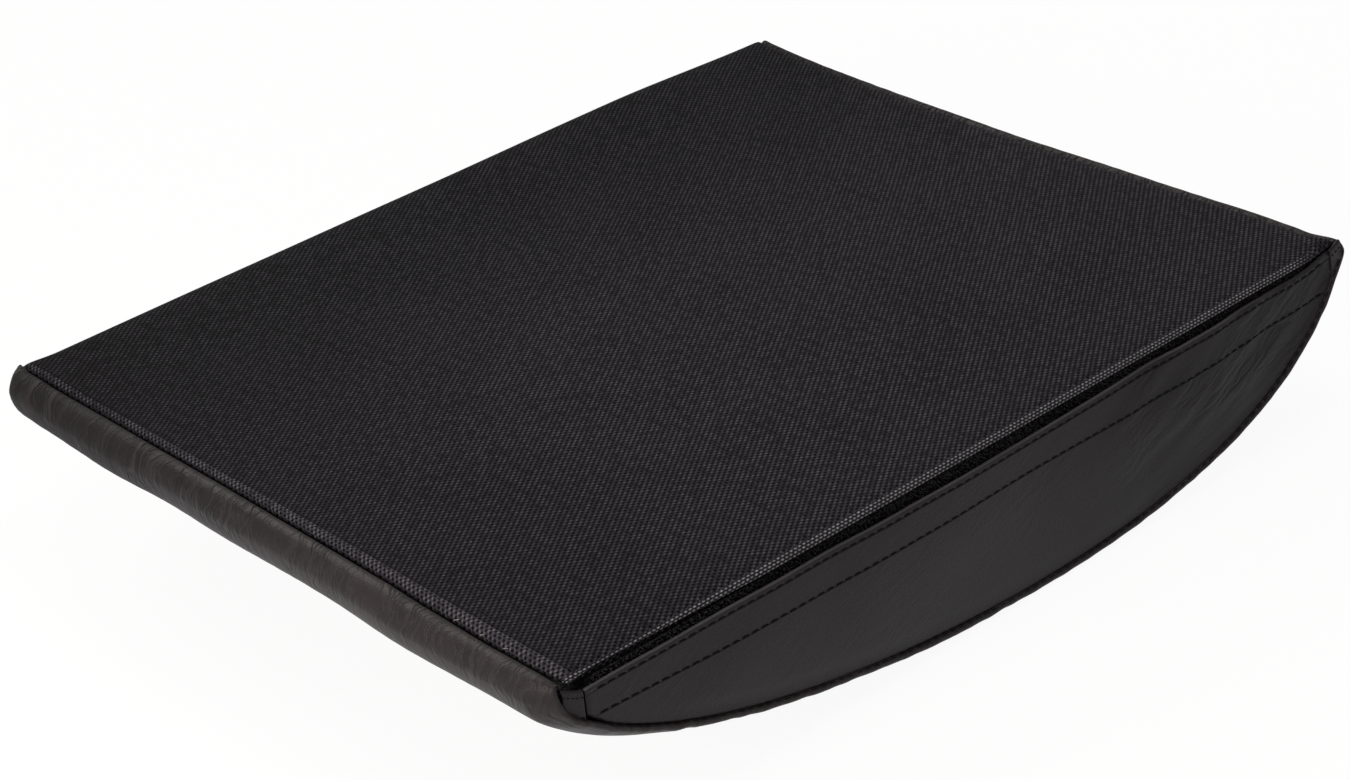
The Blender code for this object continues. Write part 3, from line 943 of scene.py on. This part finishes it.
def cover_point(station, distance):
    """A point of the dome cover, at a place across it and a distance from its near seam."""
    flat, rolled, offset = station
    share = fullness(distance)
    x = mix(flat, rolled, share)
    scallop = smooth((abs(rolled) - GUSSET_FACE + SCALLOP_REACH) / SCALLOP_REACH)
    stand = offset + nose_swell(rolled) * nose_share(distance) + gathers(rolled, distance)
    stand += SCALLOP_DEPTH * scallop * ripple(distance / SCALLOP_PITCH, rolled * 30, 5.0)
    stand += COVER_WAVE * ripple(rolled * 22, distance * 22, 9.0)
    point = OUTLINE.at(distance) + OUTLINE.outward(distance) * (stand * share)
    end = smooth((abs(x) - CORNER_START) / CORNER_RAMP)
    if x > 0:
        x -= NEAR_CORNER_TURN * end * fade(distance, *NEAR_CORNER_FADE)
        x -= FAR_CORNER_TURN * end * fade(OUTLINE.length - distance, *FAR_CORNER_FADE)
    else:
        x += LEFT_CORNER_TURN * end * fade(distance, *LEFT_CORNER_FADE)
    left_end = smooth((-x - LEFT_DRAW_START) / LEFT_DRAW_REACH)
    drawn = seam_pull(x) * fade(distance, 0, LIP_REACH)
    drawn += LEFT_CORNER_DRAW * left_end * fade(distance, 0, LEFT_DRAW_REACH)
    settled = settle(place(x, point.x + drawn, -point.y - lip_lift(x, distance)))
    settled.z = max(0.0, settled.z)
    return settled


def make_dome_cover():
    """The panel round the dome and both rounded ends, with its rolled seams."""
    stations = cover_stations()
    widths = Path([(x, offset, 0) for _, x, offset in stations])
    rows = []
    for spot in cover_rows():
        row = []
        for station, mark in zip(stations, widths.marks):
            row.append((cover_point(station, spot), (mark - widths.length / 2, spot)))
        rows.append(row)
    cover = thicken(sheet_object("dome_cover", rows, DOME_LEATHER, flip=True), LEATHER_THICKNESS)
    hand_over(cover, "cover", "leatherette", "dome_panel")
    return cover


# Woven base

def between_points(p, q, r, s, t):
    """A number between q and r, on a smooth curve that comes from p and goes on to s."""
    square = (2 * p - 5 * q + 4 * r - s) * t ** 2
    cube = (3 * q - p - 3 * r + s) * t ** 3
    return 0.5 * (2 * q + (r - p) * t + square + cube)


def flowing(points):
    """A smooth row through a few points, closer together at its end, with the distance along it."""
    ends = [points[0]] + list(points) + [points[-1]]
    fine = []
    for four in zip(ends, ends[1:], ends[2:], ends[3:]):
        for step in range(CURVE_STEPS):
            fine.append([between_points(*numbers, step / CURVE_STEPS) for numbers in zip(*four)])
    fine.append(list(points[-1]))
    path = Path([(x, y, 0) for x, y in fine])
    picked = []
    for step in range(EDGE_STEPS + 1):
        distance = path.length * (1 - (1 - step / EDGE_STEPS) ** EDGE_CROWDING)
        point = path.at(distance)
        picked.append((point.x, point.y, distance))
    return picked


# The base's edges in section: distance in from the edge, and depth
NEAR_EDGE = flowing([
    (CORE_INSET, 0), (0.011, -0.0001), (0.007, -0.0003), (0.005, -0.0004), (0.0037, -0.0009),
    (0.0025, -0.0009), (0.0014, -0.0003), (0.0004, 0.0006), (0.0001, 0.0018), (0.0008, 0.0032),
])
SIDE_EDGE = flowing([
    (CORE_INSET, 0), (0.009, 0), (0.0055, 0.0001), (0.0038, 0.0003), (0.0028, 0.0007),
    (0.0024, 0.0012), (0.0030, 0.0019),
])
SLACK_EDGE = flowing([
    (CORE_INSET, 0), (0.009, 0.0001), (0.0048, 0.0003), (0.0026, 0.0007), (0.0010, 0.0014),
    (0.0003, 0.0023), (0.0006, 0.0031), (0.0016, 0.0038),
])
PLAIN_EDGE = flowing([
    (CORE_INSET, 0), (0.008, 0), (0.004, 0.0003), (0.0018, 0.0010), (0.0004, 0.0022),
    (0.0002, 0.0034), (0.0008, 0.0044),
])


def corner_reach(angle, size):
    """How far a square's rounded outline is from its middle in a direction, as a share of its size."""
    c, s = math.cos(angle), math.sin(angle)
    inner = size - CORNER_RADIUS
    straight = size / max(c, s)
    if straight * min(c, s) <= inner:
        return straight / size
    rounding = inner ** 2 * (2 * c * s - 1) + CORNER_RADIUS ** 2
    return (inner * (c + s) + math.sqrt(max(0.0, rounding))) / size


def base_wave(x, y):
    """How much deeper the woven base lies where it is uneven."""
    return BASE_WAVE * ripple(x * 14, y * 14)


def side_edge(step, side, y):
    """A step of the base's left or right edge; the right one is slack but for its near end."""
    if side < 0:
        return PLAIN_EDGE[step]
    slack = limited((y - SLACK_START) / SLACK_SPAN)
    return [mix(a, b, slack) for a, b in zip(SIDE_EDGE[step], SLACK_EDGE[step])]


def end_edge(step, side, x):
    """A step of the base's near or far edge; the near one follows its seam."""
    if side > 0:
        return PLAIN_EDGE[step]
    inset, depth, run = NEAR_EDGE[step]
    rolled = smooth((step - EDGE_STEPS * 0.3) / (EDGE_STEPS * 0.5))
    return inset + seam_pull(x) * rolled, depth + (seam_depth(x) - SEAM_EDGE_DEPTH) * rolled, run


def base_point(column, row, columns, rows):
    """A point of the woven base and its place on the flat cloth."""
    step_x = max(0, EDGE_STEPS - column, column - (columns - EDGE_STEPS))
    step_y = max(0, EDGE_STEPS - row, row - (rows - EDGE_STEPS))
    side_x = -1 if column < columns / 2 else 1
    side_y = -1 if row < rows / 2 else 1
    core_x = HALF_WIDTH - CORE_INSET
    core_y = HALF_LENGTH - CORE_INSET
    x = mix(-core_x, core_x, limited((column - EDGE_STEPS) / (columns - 2 * EDGE_STEPS)))
    y = mix(-core_y, core_y, limited((row - EDGE_STEPS) / (rows - 2 * EDGE_STEPS)))
    step = max(step_x, step_y)
    if step == 0:
        return settle(place(x, y, base_wave(x, y))), (x, y)
    if step_x >= step_y:
        angle = math.pi / 4 * step_y / step_x
    else:
        angle = math.pi / 2 - math.pi / 4 * step_x / step_y
    edge_x = side_edge(step, side_x, y)
    edge_y = end_edge(step, side_y, x + side_x * step_x / EDGE_STEPS * CORE_INSET)
    inset, depth, run = (mix(a, b, math.sin(angle) ** 2) for a, b in zip(edge_x, edge_y))
    widen = corner_reach(angle, CORE_INSET)
    turn_x = side_x * widen * math.cos(angle)
    turn_y = side_y * widen * math.sin(angle)
    reach = CORE_INSET - inset
    depth += base_wave(x, y) * (1 - step / EDGE_STEPS)
    return settle(place(x + turn_x * reach, y + turn_y * reach, depth)), (x + turn_x * run, y + turn_y * run)


def make_woven_base():
    """The flat woven face with its edges rolled down into the seams."""
    columns = round(2 * (HALF_WIDTH - CORE_INSET) / BASE_CELL) + 2 * EDGE_STEPS
    count = round(2 * (HALF_LENGTH - CORE_INSET) / BASE_CELL) + 2 * EDGE_STEPS
    rows = [[base_point(c, r, columns, count) for c in range(columns + 1)] for r in range(count + 1)]
    base = thicken(sheet_object("woven_base", rows, WOVEN), WOVEN_THICKNESS)
    hand_over(base, "cover", "woven_nylon", "base_panel")
    return base


# Right side with its closure

def side_wave(along):
    """How far the middle of the side has slackened, from 0 at its ends to 1."""
    near = smooth((along + NEAR_SLIT) / SIDE_WAVE_RAMP)
    return near * smooth((FAR_SLIT - along) / SIDE_WAVE_RAMP)


def side_stand(along, depth):
    """How far the right side stands out from its flat pattern."""
    bottom = arc_depth(along)
    share = limited((depth - HEM_DEPTH) / max(bottom - HEM_DEPTH, 0.001))
    full = smooth((bottom - depth) / 0.009)
    bulge = SIDE_BULGE * (0.35 + 0.65 * math.sin(math.pi * min(1.0, share * 1.1) ** 0.9)) * full
    across, length = slanted(along, depth)
    crease = CREASE_DEPTH * abs(ripple(across * 95, length * 16, 3.0))
    far = smooth((along - CREASE_START) / CREASE_RAMP)
    uneven = SIDE_WAVE * ripple(along * 25, depth * 35, 7.0)
    return side_wave(along) * bulge + (uneven - far * crease) * full


def sag(along, depth):
    """How far the closure has slipped down at a place, with its hem and with its lower stitches."""
    share = smooth((depth - HEM_DEPTH) / (FOLD_DEPTH - HEM_DEPTH))
    down = mix(through(HEM_SLIPS, along), through(FOLD_SLIPS, along), share)
    down += SLIP_WOBBLE * ripple(along * 30, 0.0, 2.0)
    least, most = SLIP_FADE
    return down * fade(depth, FOLD_DEPTH, min(most, max(least, arc_depth(along) - FOLD_DEPTH)))


def hem_roll(face, top):
    """A hem in section, over from its inside to its face: X and depth."""
    roll = []
    for step in range(HEM_STEPS + 1):
        angle = math.pi * (1 - step / HEM_STEPS)
        roll.append((face - HEM_ROLL * (1 - math.cos(angle)), top + HEM_ROLL * (1 - math.sin(angle))))
    return roll


def side_column(bottom):
    """The right side in section, from inside its hem to its seam: X, depth and place on the cloth."""
    roll = hem_roll(GUSSET_FACE, HEM_DEPTH)
    column = [(roll[0][0], HEM_DEPTH + HEM_TURN, HEM_DEPTH - HEM_TURN)]
    for step, (x, depth) in enumerate(roll):
        column.append((x, depth, depth if step >= HEM_STEPS / 2 else 2 * HEM_DEPTH - depth))
    for step in range(1, SIDE_ROWS + 1):
        depth = mix(roll[-1][1], bottom - SEAM_CURL_START, step / SIDE_ROWS)
        column.append((GUSSET_FACE, depth, depth))
    for inset, rise in SEAM_CURL:
        column.append((GUSSET_FACE - inset, bottom - rise, bottom - rise))
    return column


def make_right_side():
    """The flat side and the closure band above its fold, as the one sheet that they are."""
    rows = []
    for along in steps_between(-NEAR_SLIT, FAR_SLIT, SIDE_COLUMN):
        made = []
        for x, depth, mark in side_column(arc_depth(along)):
            point = place(x + side_stand(along, depth), along, depth + sag(along, depth))
            made.append((settle(point), (mark, along)))
        rows.append(made)
    side = plain_mesh(thicken(sheet_object("right_side", rows, SIDE_LEATHER), LEATHER_THICKNESS))
    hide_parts("right_gusset", "closure_band")
    tuple(place(GUSSET_FACE, 0, BLEND_START))
    tuple(place(GUSSET_FACE, 0, BLEND_END))
    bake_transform(side)
    return side


def tab_face(along):
    """Where a corner tab's face lies at a place along the mat, and how deep its top edge is."""
    end = HALF_LENGTH + END_OVERHANG
    if along < 0:
        share = (-NEAR_SLIT - along) / (end - NEAR_SLIT)
        return GUSSET_FACE - TAB_TURN * max(0.0, share) ** 1.5, mix(*NEAR_TAB_TOP, smooth(share))
    share = (along - FAR_SLIT) / (end - FAR_SLIT)
    return GUSSET_FACE, mix(*FAR_TAB_TOP, smooth(share))


def make_corner_tab(name, node, start, end):
    """A stub of the side beyond a slit, with its top edge folded in."""
    rows = []
    for along in steps_between(start, end, TAB_STEP):
        face, top = tab_face(along)
        column = hem_roll(face, top)
        start_depth = column[-1][1]
        end_depth = max(outline_bottom(along), start_depth + 0.0005)
        for step in range(1, TAB_ROWS + 1):
            column.append((face, mix(start_depth, end_depth, step / TAB_ROWS)))
        rows.append([(settle(place(x, along, depth)), (depth, along)) for x, depth in column])
    tab = thicken(sheet_object(name, rows, LEATHER), LEATHER_THICKNESS)
    hand_over(tab, "cover", "leatherette", node)
    return tab


# Left side

def make_left_side():
    """The flat side below the base's left edge."""
    rows = []
    for along in steps_between(-HALF_LENGTH - 0.0005, HALF_LENGTH + 0.0005, LEFT_COLUMN):
        bottom = max(outline_bottom(along), SIDE_TOP_DEPTH + 0.002)
        row = []
        for step in range(LEFT_ROWS + 1):
            share = step / LEFT_ROWS
            depth = mix(SIDE_TOP_DEPTH - 0.0006, bottom + 0.0003, share)
            bulge = LEFT_BULGE * smooth((bottom - 0.01) / 0.03)
            bulge += LEFT_WAVE * ripple(along * 25, depth * 25, 12.0)
            tuck = LEFT_TUCK * (smooth((share - 0.94) / 0.06) + smooth((0.05 - share) / 0.05))
            stand = bulge * math.sin(math.pi * share) - tuck
            row.append((settle(place(-GUSSET_FACE - stand, along, depth)), (depth, along)))
        rows.append(row)
    side = thicken(sheet_object("left_side", rows, LEATHER, flip=True), LEATHER_THICKNESS)
    hand_over(side, "cover", "leatherette", "left_gusset")
    return side


# Tapes, flap and foam

def make_strip(name, node, body, slot, look, face, top, bottom, thickness, sagging=0.0):
    """A flat strip behind the closure, which may slip down with it."""
    rows = []
    for along in steps_between(-TAPE_NEAR, TAPE_FAR, LINE_STEP):
        row = []
        for step in range(STRIP_ROWS + 1):
            depth = mix(top, bottom, step / STRIP_ROWS)
            point = place(face, along, depth + sag(along, depth) * sagging)
            row.append((settle(point), (depth, along)))
        rows.append(row)
    strip = thicken(sheet_object(name, rows, look), thickness)
    hand_over(strip, body, slot, node)
    return strip


def make_strips():
    """The hook tape on the closure, and the loop tape on the base's turned-down flap."""
    make_strip("hook_strip", "hook_tape", "closure", "hook_tape", HOOK,
               HOOK_FACE, HOOK_TOP, HOOK_BOTTOM, TAPE_THICKNESS, sagging=1.0)
    make_strip("loop_strip", "loop_tape", "flap", "loop_tape", LOOP,
               LOOP_FACE, LOOP_TOP, LOOP_BOTTOM, TAPE_THICKNESS)
    make_strip("flap_cloth", "base_flap", "flap", "woven_nylon", WOVEN,
               FLAP_FACE, FLAP_TOP, LOOP_BOTTOM, WOVEN_THICKNESS)


def foam_point(spot, outward):
    """Where a point of the foam lies, eased in from the cover and with the corners softened."""
    nose = smooth((FOAM_NOSE_END - spot.y) / FOAM_NOSE_RAMP)
    x, y, z = spot - outward * (FOAM_EASE + FOAM_NOSE_EASE * nose)
    cut = FOAM_CORNER_CUT * smooth((abs(x) - FOAM_CORNER_X) / FOAM_CORNER_RAMP)
    cut *= smooth((abs(y) - FOAM_CORNER_Y) / FOAM_CORNER_RAMP)
    return settle(Vector((x - math.copysign(cut, x), y - math.copysign(cut, y), z)))


def make_foam_block():
    """The moulded core, with its edges softened."""
    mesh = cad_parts["foam_core"].data.copy()
    block = add_object("foam_block", mesh)
    work = bmesh.new()
    work.from_mesh(mesh)
    bmesh.ops.remove_doubles(work, verts=work.verts, dist=0.00001)
    work.to_mesh(mesh)
    work.free()
    mesh.materials.clear()
    mesh.materials.append(FOAM)
    remesh = block.modifiers.new("Remesh", "REMESH")
    remesh.mode = "VOXEL"
    remesh.voxel_size = FOAM_VOXEL
    soft = block.modifiers.new("Soften", "SMOOTH")
    soft.factor = 0.5
    soft.iterations = 2
    plain_mesh(block)
    outwards = [point.normal.copy() for point in block.data.vertices]
    for point, outward in zip(block.data.vertices, outwards):
        point.co = foam_point(point.co, outward)
    block.data.shade_smooth()
    hand_over(block, "cover", "foam", "foam_core")
    return block


# Geometry Nodes for stitches, loops and hooks

def shape_tree(name, inputs, result):
    """A Geometry Nodes tree with named inputs, and the method that adds its nodes."""
    tree = bpy.data.node_groups.new(name, "GeometryNodeTree")
    for label, kind in inputs:
        tree.interface.new_socket(label, in_out="INPUT", socket_type="NodeSocket" + kind)
    tree.interface.new_socket(result, in_out="OUTPUT", socket_type="NodeSocketGeometry")

    def node(kind, values=(), **settings):
        made = tree.nodes.new(kind)
        for label, value in settings.items():
            setattr(made, label, value)
        for key, value in dict(values).items():
            if isinstance(value, bpy.types.NodeSocket):
                tree.links.new(value, made.inputs[key])
            else:
                made.inputs[key].default_value = value
        return made.outputs

    return tree, node


def stitch_tree():
    """Geometry Nodes that lay single stitches along a line."""
    inputs = [
        ("Line", "Geometry"),
        ("Pitch", "Float"),
        ("Stitch length", "Float"),
        ("Thread radius", "Float"),
        ("Finish", "Material"),
    ]
    tree, node = shape_tree("stitch_row", inputs, "Stitches")
    given = node("NodeGroupInput")
    line = node("GeometryNodeMeshToCurve", {"Mesh": given["Line"]})["Curve"]
    dots = node("GeometryNodeCurveToPoints", {"Curve": line, "Length": given["Pitch"]}, mode="LENGTH")
    bar = node("GeometryNodeMeshIcoSphere", {"Radius": 1.0, "Subdivisions": 2})["Mesh"]
    half = node("ShaderNodeMath", {0: given["Stitch length"], 1: 0.5}, operation="MULTIPLY")["Value"]
    thick = given["Thread radius"]
    size = node("ShaderNodeCombineXYZ", {"X": thick, "Y": thick, "Z": half})["Vector"]
    turn = node("FunctionNodeAlignRotationToVector", {"Vector": dots["Tangent"]}, axis="Z")["Rotation"]
    laid = {"Points": dots["Points"], "Instance": bar, "Rotation": turn, "Scale": size}
    laid = node("GeometryNodeInstanceOnPoints", laid)["Instances"]
    real = node("GeometryNodeRealizeInstances", {0: laid})[0]
    smoothed = node("GeometryNodeSetShadeSmooth", {0: real})[0]
    done = node("GeometryNodeSetMaterial", {"Geometry": smoothed, "Material": given["Finish"]})["Geometry"]
    node("NodeGroupOutput", {"Stitches": done})
    return tree


def fibre_tree():
    """Geometry Nodes that stand a bent fibre on every point, for the loops and hooks of the tapes."""
    inputs = [
        ("Points", "Geometry"),
        ("Height", "Float"),
        ("Reach", "Float"),
        ("End height", "Float"),
        ("Fibre radius", "Float"),
        ("Direction", "Vector"),
        ("Lean", "Vector"),
        ("Turn", "Vector"),
        ("Unevenness", "Float"),
        ("Seed", "Int"),
        ("Finish", "Material"),
    ]
    tree, node = shape_tree("tape_fibres", inputs, "Fibres")
    given = node("NodeGroupInput")
    over = node("ShaderNodeCombineXYZ", {"X": given["Reach"], "Z": given["Height"]})["Vector"]
    tip = node("ShaderNodeCombineXYZ", {"X": given["Reach"], "Z": given["End height"]})["Vector"]
    bent = {"Resolution": 4, "Start": (0, 0, 0), "Middle": over, "End": tip}
    bent = node("GeometryNodeCurveQuadraticBezier", bent)["Curve"]
    ring = {"Resolution": 3, "Radius": given["Fibre radius"]}
    ring = node("GeometryNodeCurvePrimitiveCircle", ring)["Curve"]
    fibre = node("GeometryNodeCurveToMesh", {"Curve": bent, "Profile Curve": ring, "Fill Caps": True})["Mesh"]
    stand = node("FunctionNodeAlignRotationToVector", {"Vector": given["Direction"]}, axis="Z")["Rotation"]
    swing = {"Min": given["Lean"], "Max": given["Turn"], "Seed": given["Seed"]}
    swing = node("FunctionNodeRandomValue", swing, data_type="FLOAT_VECTOR")["Value"]
    swung = node("FunctionNodeEulerToRotation", {"Euler": swing})["Rotation"]
    turned = {"Rotation": stand, "Rotate By": swung}
    turned = node("FunctionNodeRotateRotation", turned, rotation_space="LOCAL")["Rotation"]
    least = node("ShaderNodeMath", {0: 1.0, 1: given["Unevenness"]}, operation="SUBTRACT")["Value"]
    size = node("FunctionNodeRandomValue", {2: least, 3: 1.0, "Seed": given["Seed"]}, data_type="FLOAT")[1]
    set_out = {"Points": given["Points"], "Instance": fibre, "Rotation": turned, "Scale": size}
    set_out = node("GeometryNodeInstanceOnPoints", set_out)["Instances"]
    real = node("GeometryNodeRealizeInstances", {0: set_out})[0]
    done = node("GeometryNodeSetMaterial", {"Geometry": real, "Material": given["Finish"]})["Geometry"]
    node("NodeGroupOutput", {"Fibres": done})
    return tree


STITCH_TREE = stitch_tree()
FIBRE_TREE = fibre_tree()


def grow(item, tree, values):
    """Turns an object's points into what a tree makes of them, with the tree's inputs by name."""
    step = item.modifiers.new(tree.name, "NODES")
    step.node_group = tree
    for socket in tree.interface.items_tree:
        if getattr(socket, "in_out", "") == "INPUT" and socket.name in values:
            step[socket.identifier] = values[socket.name]
    return plain_mesh(item)


# Loops and hooks

def tape_fibres(name, body, slot, face, top, bottom, pitch, sagging, values):
    """Stands fibres in staggered rows on the face of a tape."""
    points = []
    for r, depth in enumerate(steps_between(top, bottom, pitch)):
        for along in steps_between(-TAPE_NEAR + 0.002, TAPE_FAR - 0.002, pitch):
            spot = along + pitch * (0.5 * (r % 2) + 0.3 * ripple(along * 900, r * 3.7, 1.0))
            points.append(settle(place(face, spot, depth + sag(spot, depth) * sagging)))
    mesh = bpy.data.meshes.new(name)
    mesh.from_pydata([tuple(point) for point in points], [], [])
    return hand_over(grow(add_object(name, mesh), FIBRE_TREE, values), body, slot)


def make_loop_pile():
    """The fuzzy face of the loop tape."""
    loops = {
        "Height": 0.0024,
        "Reach": 0.0007,
        "End height": 0.0,
        "Fibre radius": 0.00011,
        "Direction": (1, 0, 0),
        "Lean": (-0.6, -0.6, 0.0),
        "Turn": (0.6, 0.6, 6.283),
        "Unevenness": 0.35,
        "Seed": 4,
        "Finish": PILE,
    }
    top = LOOP_TOP - 0.0002
    tape_fibres("loop_pile", "flap", "loop_tape", LOOP_FACE, top, LOOP_BOTTOM, 0.00095, 0.0, loops)


def make_tape_hooks():
    """The moulded hooks, which face in from the closure."""
    hooks = {
        "Height": 0.0013,
        "Reach": 0.0004,
        "End height": 0.0005,
        "Fibre radius": 0.0001,
        "Direction": (-1, 0, 0),
        "Lean": (0.0, 0.0, 1.4),
        "Turn": (0.0, 0.0, 1.8),
        "Unevenness": 0.05,
        "Seed": 2,
        "Finish": HOOK,
    }
    face = HOOK_FACE - TAPE_THICKNESS
    top = HOOK_TOP + 0.0005
    bottom = HOOK_BOTTOM - 0.0005
    tape_fibres("tape_hooks", "closure", "hook_tape", face, top, bottom, 0.00125, 1.0, hooks)


# Stitches

def stitch_row(name, node, body, points, stitch=PLAIN_STITCH, finish=THREAD):
    """Single stitches along a line of points, in place of a solid's thread if there is one."""
    mesh = bpy.data.meshes.new(name)
    mesh.from_pydata([tuple(p) for p in points], [(i, i + 1) for i in range(len(points) - 1)], [])
    pitch, length, radius = stitch
    values = {"Pitch": pitch, "Stitch length": length, "Thread radius": radius, "Finish": finish}
    row = grow(add_object(name, mesh), STITCH_TREE, values)
    return hand_over(row, body, "thread", *([node] if node else []))


def side_line(depth, start, end):
    """Points on the face of the right side, at one depth."""
    points = []
    for along in steps_between(start, end, LINE_STEP):
        x = GUSSET_FACE + side_stand(along, depth) + 0.0001
        points.append(settle(place(x, along, depth + sag(along, depth))))
    return points


def make_closure_stitches():
    """The two rows on the closure, and the row that holds the loop tape."""
    near = -NEAR_SLIT + STITCH_INSET
    far = FAR_SLIT - STITCH_INSET
    stitch_row("hem_stitches", "band_hem_thread", "closure", side_line(HEM_ROW, near, far))
    stitch_row("tape_stitches", "hook_tape_thread", "closure", side_line(TAPE_ROW, near, far))
    loop = []
    for along in steps_between(near, far, LINE_STEP):
        depth = LOOP_TOP + 0.0006 + sag(along, LOOP_TOP)
        loop.append(settle(place(LOOP_FACE + 0.0003, along, depth)))
    stitch_row("loop_stitches", "loop_tape_thread", "flap", loop)


def make_tab_stitches():
    """The short rows that hold the folded tops of the corner tabs."""
    end = HALF_LENGTH + END_OVERHANG - 0.0017
    rows = {"near_tab": (-end, -NEAR_SLIT - 0.0014), "far_tab": (FAR_SLIT + 0.0014, end)}
    for name, (low, high) in rows.items():
        points = []
        for along in steps_between(low, high, 0.001):
            face, top = tab_face(along)
            points.append(settle(place(face + 0.0001, along, top + 0.0026)))
        stitch_row(f"{name}_stitches", f"{name}_thread", "cover", points, TAB_STITCH)


def make_arc_stitches():
    """The rows along the arc seams of both sides."""
    for name, side in (("right_arc", 1), ("left_arc", -1)):
        points = []
        for spot in steps_between(TUCK_LENGTH, OUTLINE.length - TUCK_LENGTH, 0.003):
            p = OUTLINE.at(spot) - OUTLINE.outward(spot) * 0.0002
            points.append(settle(place(side * (GUSSET_FACE + 0.0004), p.x, -p.y)))
        stitch_row(f"{name}_stitches", f"{name}_thread", "cover", points)


def make_base_stitches():
    """The rows along the near and far base seams."""
    across = HALF_WIDTH - 0.004
    for name, side in (("near_base", -1), ("far_base", 1)):
        points = []
        for x in steps_between(-across, across, LINE_STEP):
            depth = seam_depth(x) + 0.0002 if side < 0 else BASE_EDGE_DEPTH
            drawn = seam_pull(x) if side < 0 else 0.0
            points.append(settle(place(x, side * (HALF_LENGTH + 0.0005 - drawn), depth)))
        stitch_row(f"{name}_stitches", f"{name}_thread", "cover", points, BASE_STITCH)


def make_loose_ends():
    """Three pale ends of thread that stand out of the near base seam."""
    for index, (x, length) in enumerate(LOOSE_ENDS):
        start = -HALF_LENGTH + seam_pull(x)
        depth = seam_depth(x) - 0.0009
        points = []
        for step in range(5):
            points.append(settle(place(x + 0.0004 * step, start + length * step / 4, depth)))
        stitch = (1.0, length, LOOSE_RADIUS)
        stitch_row(f"loose_end_{index + 1}", None, "cover", points, stitch, PALE_THREAD)


def make_left_base_stitches():
    """The row along the left base seam."""
    end = HALF_LENGTH - 0.004
    points = []
    for along in steps_between(-end, end, LINE_STEP):
        points.append(settle(place(-HALF_WIDTH - 0.0006, along, BASE_EDGE_DEPTH + 0.0005)))
    stitch_row("left_base_stitches", "left_base_thread", "cover", points)


# Floor, light and camera

def make_floor():
    """A pale floor that is near white where it is seen, and keeps the mat's shadow."""
    look = Look("white_floor")
    ray = look.node("LightPath", result="Is Camera Ray")
    shiny = look.node("LightPath", result="Is Glossy Ray")
    clear = look.node("LightPath", result="Is Transmission Ray")
    seen = (ray + shiny + clear).clamped()
    plain = look.node("BsdfDiffuse", {"Color": FLOOR_COLOUR})
    glow = look.node("Emission", {"Color": WHITE, "Strength": 1.0})
    look.output(look.node("MixShader", {0: seen * FLOOR_GLOW, 1: plain, 2: glow}))
    mesh = bpy.data.meshes.new("floor")
    corners = [(x * FLOOR_SIZE, y * FLOOR_SIZE, 0) for x, y in ((-1, -1), (1, -1), (1, 1), (-1, 1))]
    mesh.from_pydata(corners, [], [(0, 1, 2, 3)])
    mesh.materials.append(look.made)
    floor = add_object("floor", mesh)


def make_world():
    """Soft white light from all round, which the camera sees as full white."""
    look = Look("studio", world=True)
    ray = look.node("LightPath", result="Is Camera Ray")
    soft = look.node("Background", {"Color": WHITE, "Strength": WORLD_LIGHT})
    white = look.node("Background", {"Color": WHITE, "Strength": 1.0})
    look.output(look.node("MixShader", {0: ray, 1: soft, 2: white}))
    bpy.context.scene.world = look.made


def soft_lamp(name, place_at, aim, size, power, colour):
    """A square studio lamp turned to face a point."""
    data = bpy.data.lights.new(name, "AREA")
    data.shape = "SQUARE"
    data.size = size
    data.energy = power
    data.color = colour
    lamp = add_object(name, data)
    lamp.location = place_at
    lamp.rotation_euler = (Vector(aim) - Vector(place_at)).to_track_quat("-Z", "Y").to_euler()


def make_camera():
    """The camera, from the place and with the view that the photograph was taken."""
    data = bpy.data.cameras.new("camera")
    data.sensor_width = 36
    data.lens = CAMERA_LENS
    camera = add_object("camera", data)
    camera.matrix_world = Matrix.Translation(CAMERA_PLACE) @ Matrix(CAMERA_TURN).to_4x4()
    bpy.context.scene.camera = camera


make_camera()
make_dome_cover()
make_woven_base()
make_right_side()
make_corner_tab("near_tab", "near_corner_tab", -HALF_LENGTH - 0.0015, -NEAR_SLIT - 0.0008)
make_corner_tab("far_tab", "far_corner_tab", FAR_SLIT + 0.0003, HALF_LENGTH + 0.0022)
make_left_side()
make_strips()
make_foam_block()
make_loop_pile()
make_tape_hooks()
make_closure_stitches()
make_tab_stitches()
make_arc_stitches()
make_base_stitches()
make_loose_ends()
make_left_base_stitches()
make_floor()
make_world()
for lamp_name, lamp_values in LAMPS.items():
    soft_lamp(lamp_name, *lamp_values)
bpy.context.scene.view_settings.view_transform = "Standard"
